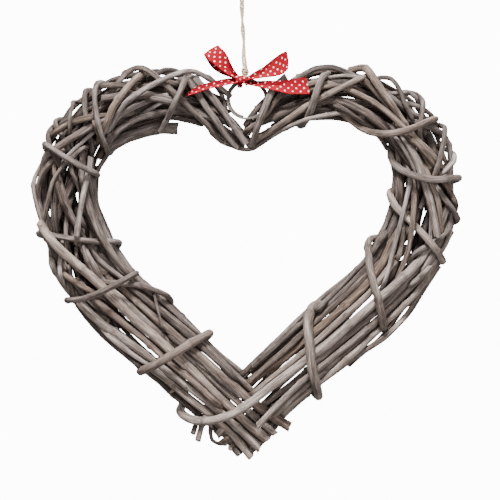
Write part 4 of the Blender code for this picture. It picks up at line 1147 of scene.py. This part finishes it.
def ribbon_cloth():
    """Red woven ribbon with white dots; the attributes say where on the ribbon a place is, and which
    faces take painted shade.
    """
    g = Graph("ribbon_cloth", 0.8, 0.08)
    along, across = g.value("along"), g.value("across")
    row = g.maths("DIVIDE", g.maths("SUBTRACT", across, 0.9 * MM), DOT_ROWS * MM)
    whole = g.maths("ROUND", row)
    up = g.times(g.maths("SUBTRACT", row, whole), DOT_ROWS)
    column = g.plus(g.maths("DIVIDE", along, DOT_COLUMNS * MM), g.times(whole, 0.5))
    side = g.times(g.maths("SUBTRACT", column, g.maths("ROUND", column)), DOT_COLUMNS)
    away = g.maths("SQRT", g.plus(g.maths("POWER", g.size(up), 2.0), g.maths("POWER", g.size(side), 2.0)))
    inside = g.spread(g.size(g.plus(across, 0.4 * MM)), 6.0 * MM, 5.9 * MM)
    dot = g.times(g.spread(away, *DOT_EDGE), inside)
    edge = g.spread(g.size(across), 5.9 * MM, 6.2 * MM)
    warp = g.maths("SINE", g.times(across, 2 * math.pi / (0.32 * MM)))
    weft = g.maths("SINE", g.times(along, 2 * math.pi / (0.42 * MM)))
    outside = g.value("outside")
    # Painted shade: faces marked as shaded take a darker red, and their dots show fainter
    red = g.mix(outside, (0.16, 0.0, 0.005, 1), (0.28, 0.003, 0.012, 1))
    red = g.dye(g.times(edge, 0.6), red, (0.22, 0.0, 0.002))
    colour = g.dye(g.times(dot, g.spread(outside, 0, 1, 0.55, 1)), red, (0.86, 0.74, 0.68))
    return g.finished(colour, g.plus(g.times(warp, weft), g.times(edge, 1.5)), 0.25, 0.05 * MM)


def ribbon_bow():
    """One ribbon tied in a bow over the ring's top."""
    strips = {name: places for name, _, places in rows_of(STRIPS)}
    skin = Skin()
    place = add_ribbon(skin, strips["tail_left"], 2 * MM, left=True)
    place = add_ribbon(skin, strips["loop_left"], place, left=True)
    place = add_ribbon(skin, strips["loop_right"], place, left=False)
    add_ribbon(skin, strips["tail_right"], place + 3 * MM, left=False)
    add_bow_knot(skin)
    add_ring_band(skin)
    bow = skin.piece("dotted_ribbon_bow", ribbon_cloth(), "ribbon")
    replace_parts(bow, "ribbon_bow")


def camera():
    """The photograph's camera."""
    data = bpy.data.cameras.new("camera")
    data.sensor_width = 36
    data.lens = data.sensor_width * VIEW_DISTANCE / VIEW_WIDTH
    data.clip_end = 20
    obj = put_in_scene("camera", data)
    obj.location = (VIEW_CENTRE[0], -VIEW_DISTANCE, VIEW_CENTRE[2])
    obj.rotation_euler = (math.radians(90), 0, 0)
    bpy.context.scene.camera = obj


def soft_light(name, place, size, power):
    """A square light that shines at the heart."""
    data = bpy.data.lights.new(name, "AREA")
    data.shape = "SQUARE"
    data.size = size
    data.energy = power
    obj = put_in_scene(name, data)
    obj.location = place
    away = np.array(place) - np.array(LIT_POINT)
    away /= np.linalg.norm(away)
    obj.rotation_euler = (math.acos(away[2]), 0, math.atan2(away[0], -away[1]))


def studio():
    """A pale round floor that curves up into a wall on every side, and soft lights."""
    flat = WALL_RADIUS - FLOOR_BEND
    profile = [(0.01, FLOOR_Z), (flat, FLOOR_Z)]
    profile += [(flat + FLOOR_BEND * math.sin(a), FLOOR_Z + FLOOR_BEND - FLOOR_BEND * math.cos(a))
                for a in np.linspace(0.1, math.pi / 2, 10)]
    profile.append((WALL_RADIUS, WALL_TOP_Z))
    verts = [(r * math.cos(t), r * math.sin(t), z) for r, z in profile for t in turns(WALL_SIDES)]
    mesh = bpy.data.meshes.new("floor_and_backdrop")
    mesh.from_pydata(verts, [], ring_faces(len(profile), WALL_SIDES))
    mesh.shade_smooth()
    paper = Graph("white_paper", 1.0, 0.0)
    paper.fill(paper.shader, {"Base Color": (0.95, 0.95, 0.95, 1), "Emission Color": (1, 1, 1, 1),
                              "Emission Strength": 12})
    mesh.materials.append(paper.material)
    floor = put_in_scene("floor_and_backdrop", mesh)
    floor.visible_diffuse = False
    floor.visible_glossy = False
    floor.visible_shadow = False
    for name, place, size, power in LIGHTS:
        soft_light(name, place, size, power)
    world = bpy.data.worlds.new("studio")
    world.use_nodes = True
    sky = world.node_tree.nodes["Background"]
    sky.inputs["Color"].default_value = (1, 1, 1, 1)
    sky.inputs["Strength"].default_value = SKY_STRENGTH
    bpy.context.scene.world = world


def main():
    camera()
    studio()
    bark = willow_bark()
    held = willow_rods(bark)
    thin_rods(bark, held)
    jute_loop()
    ribbon_bow()


main()
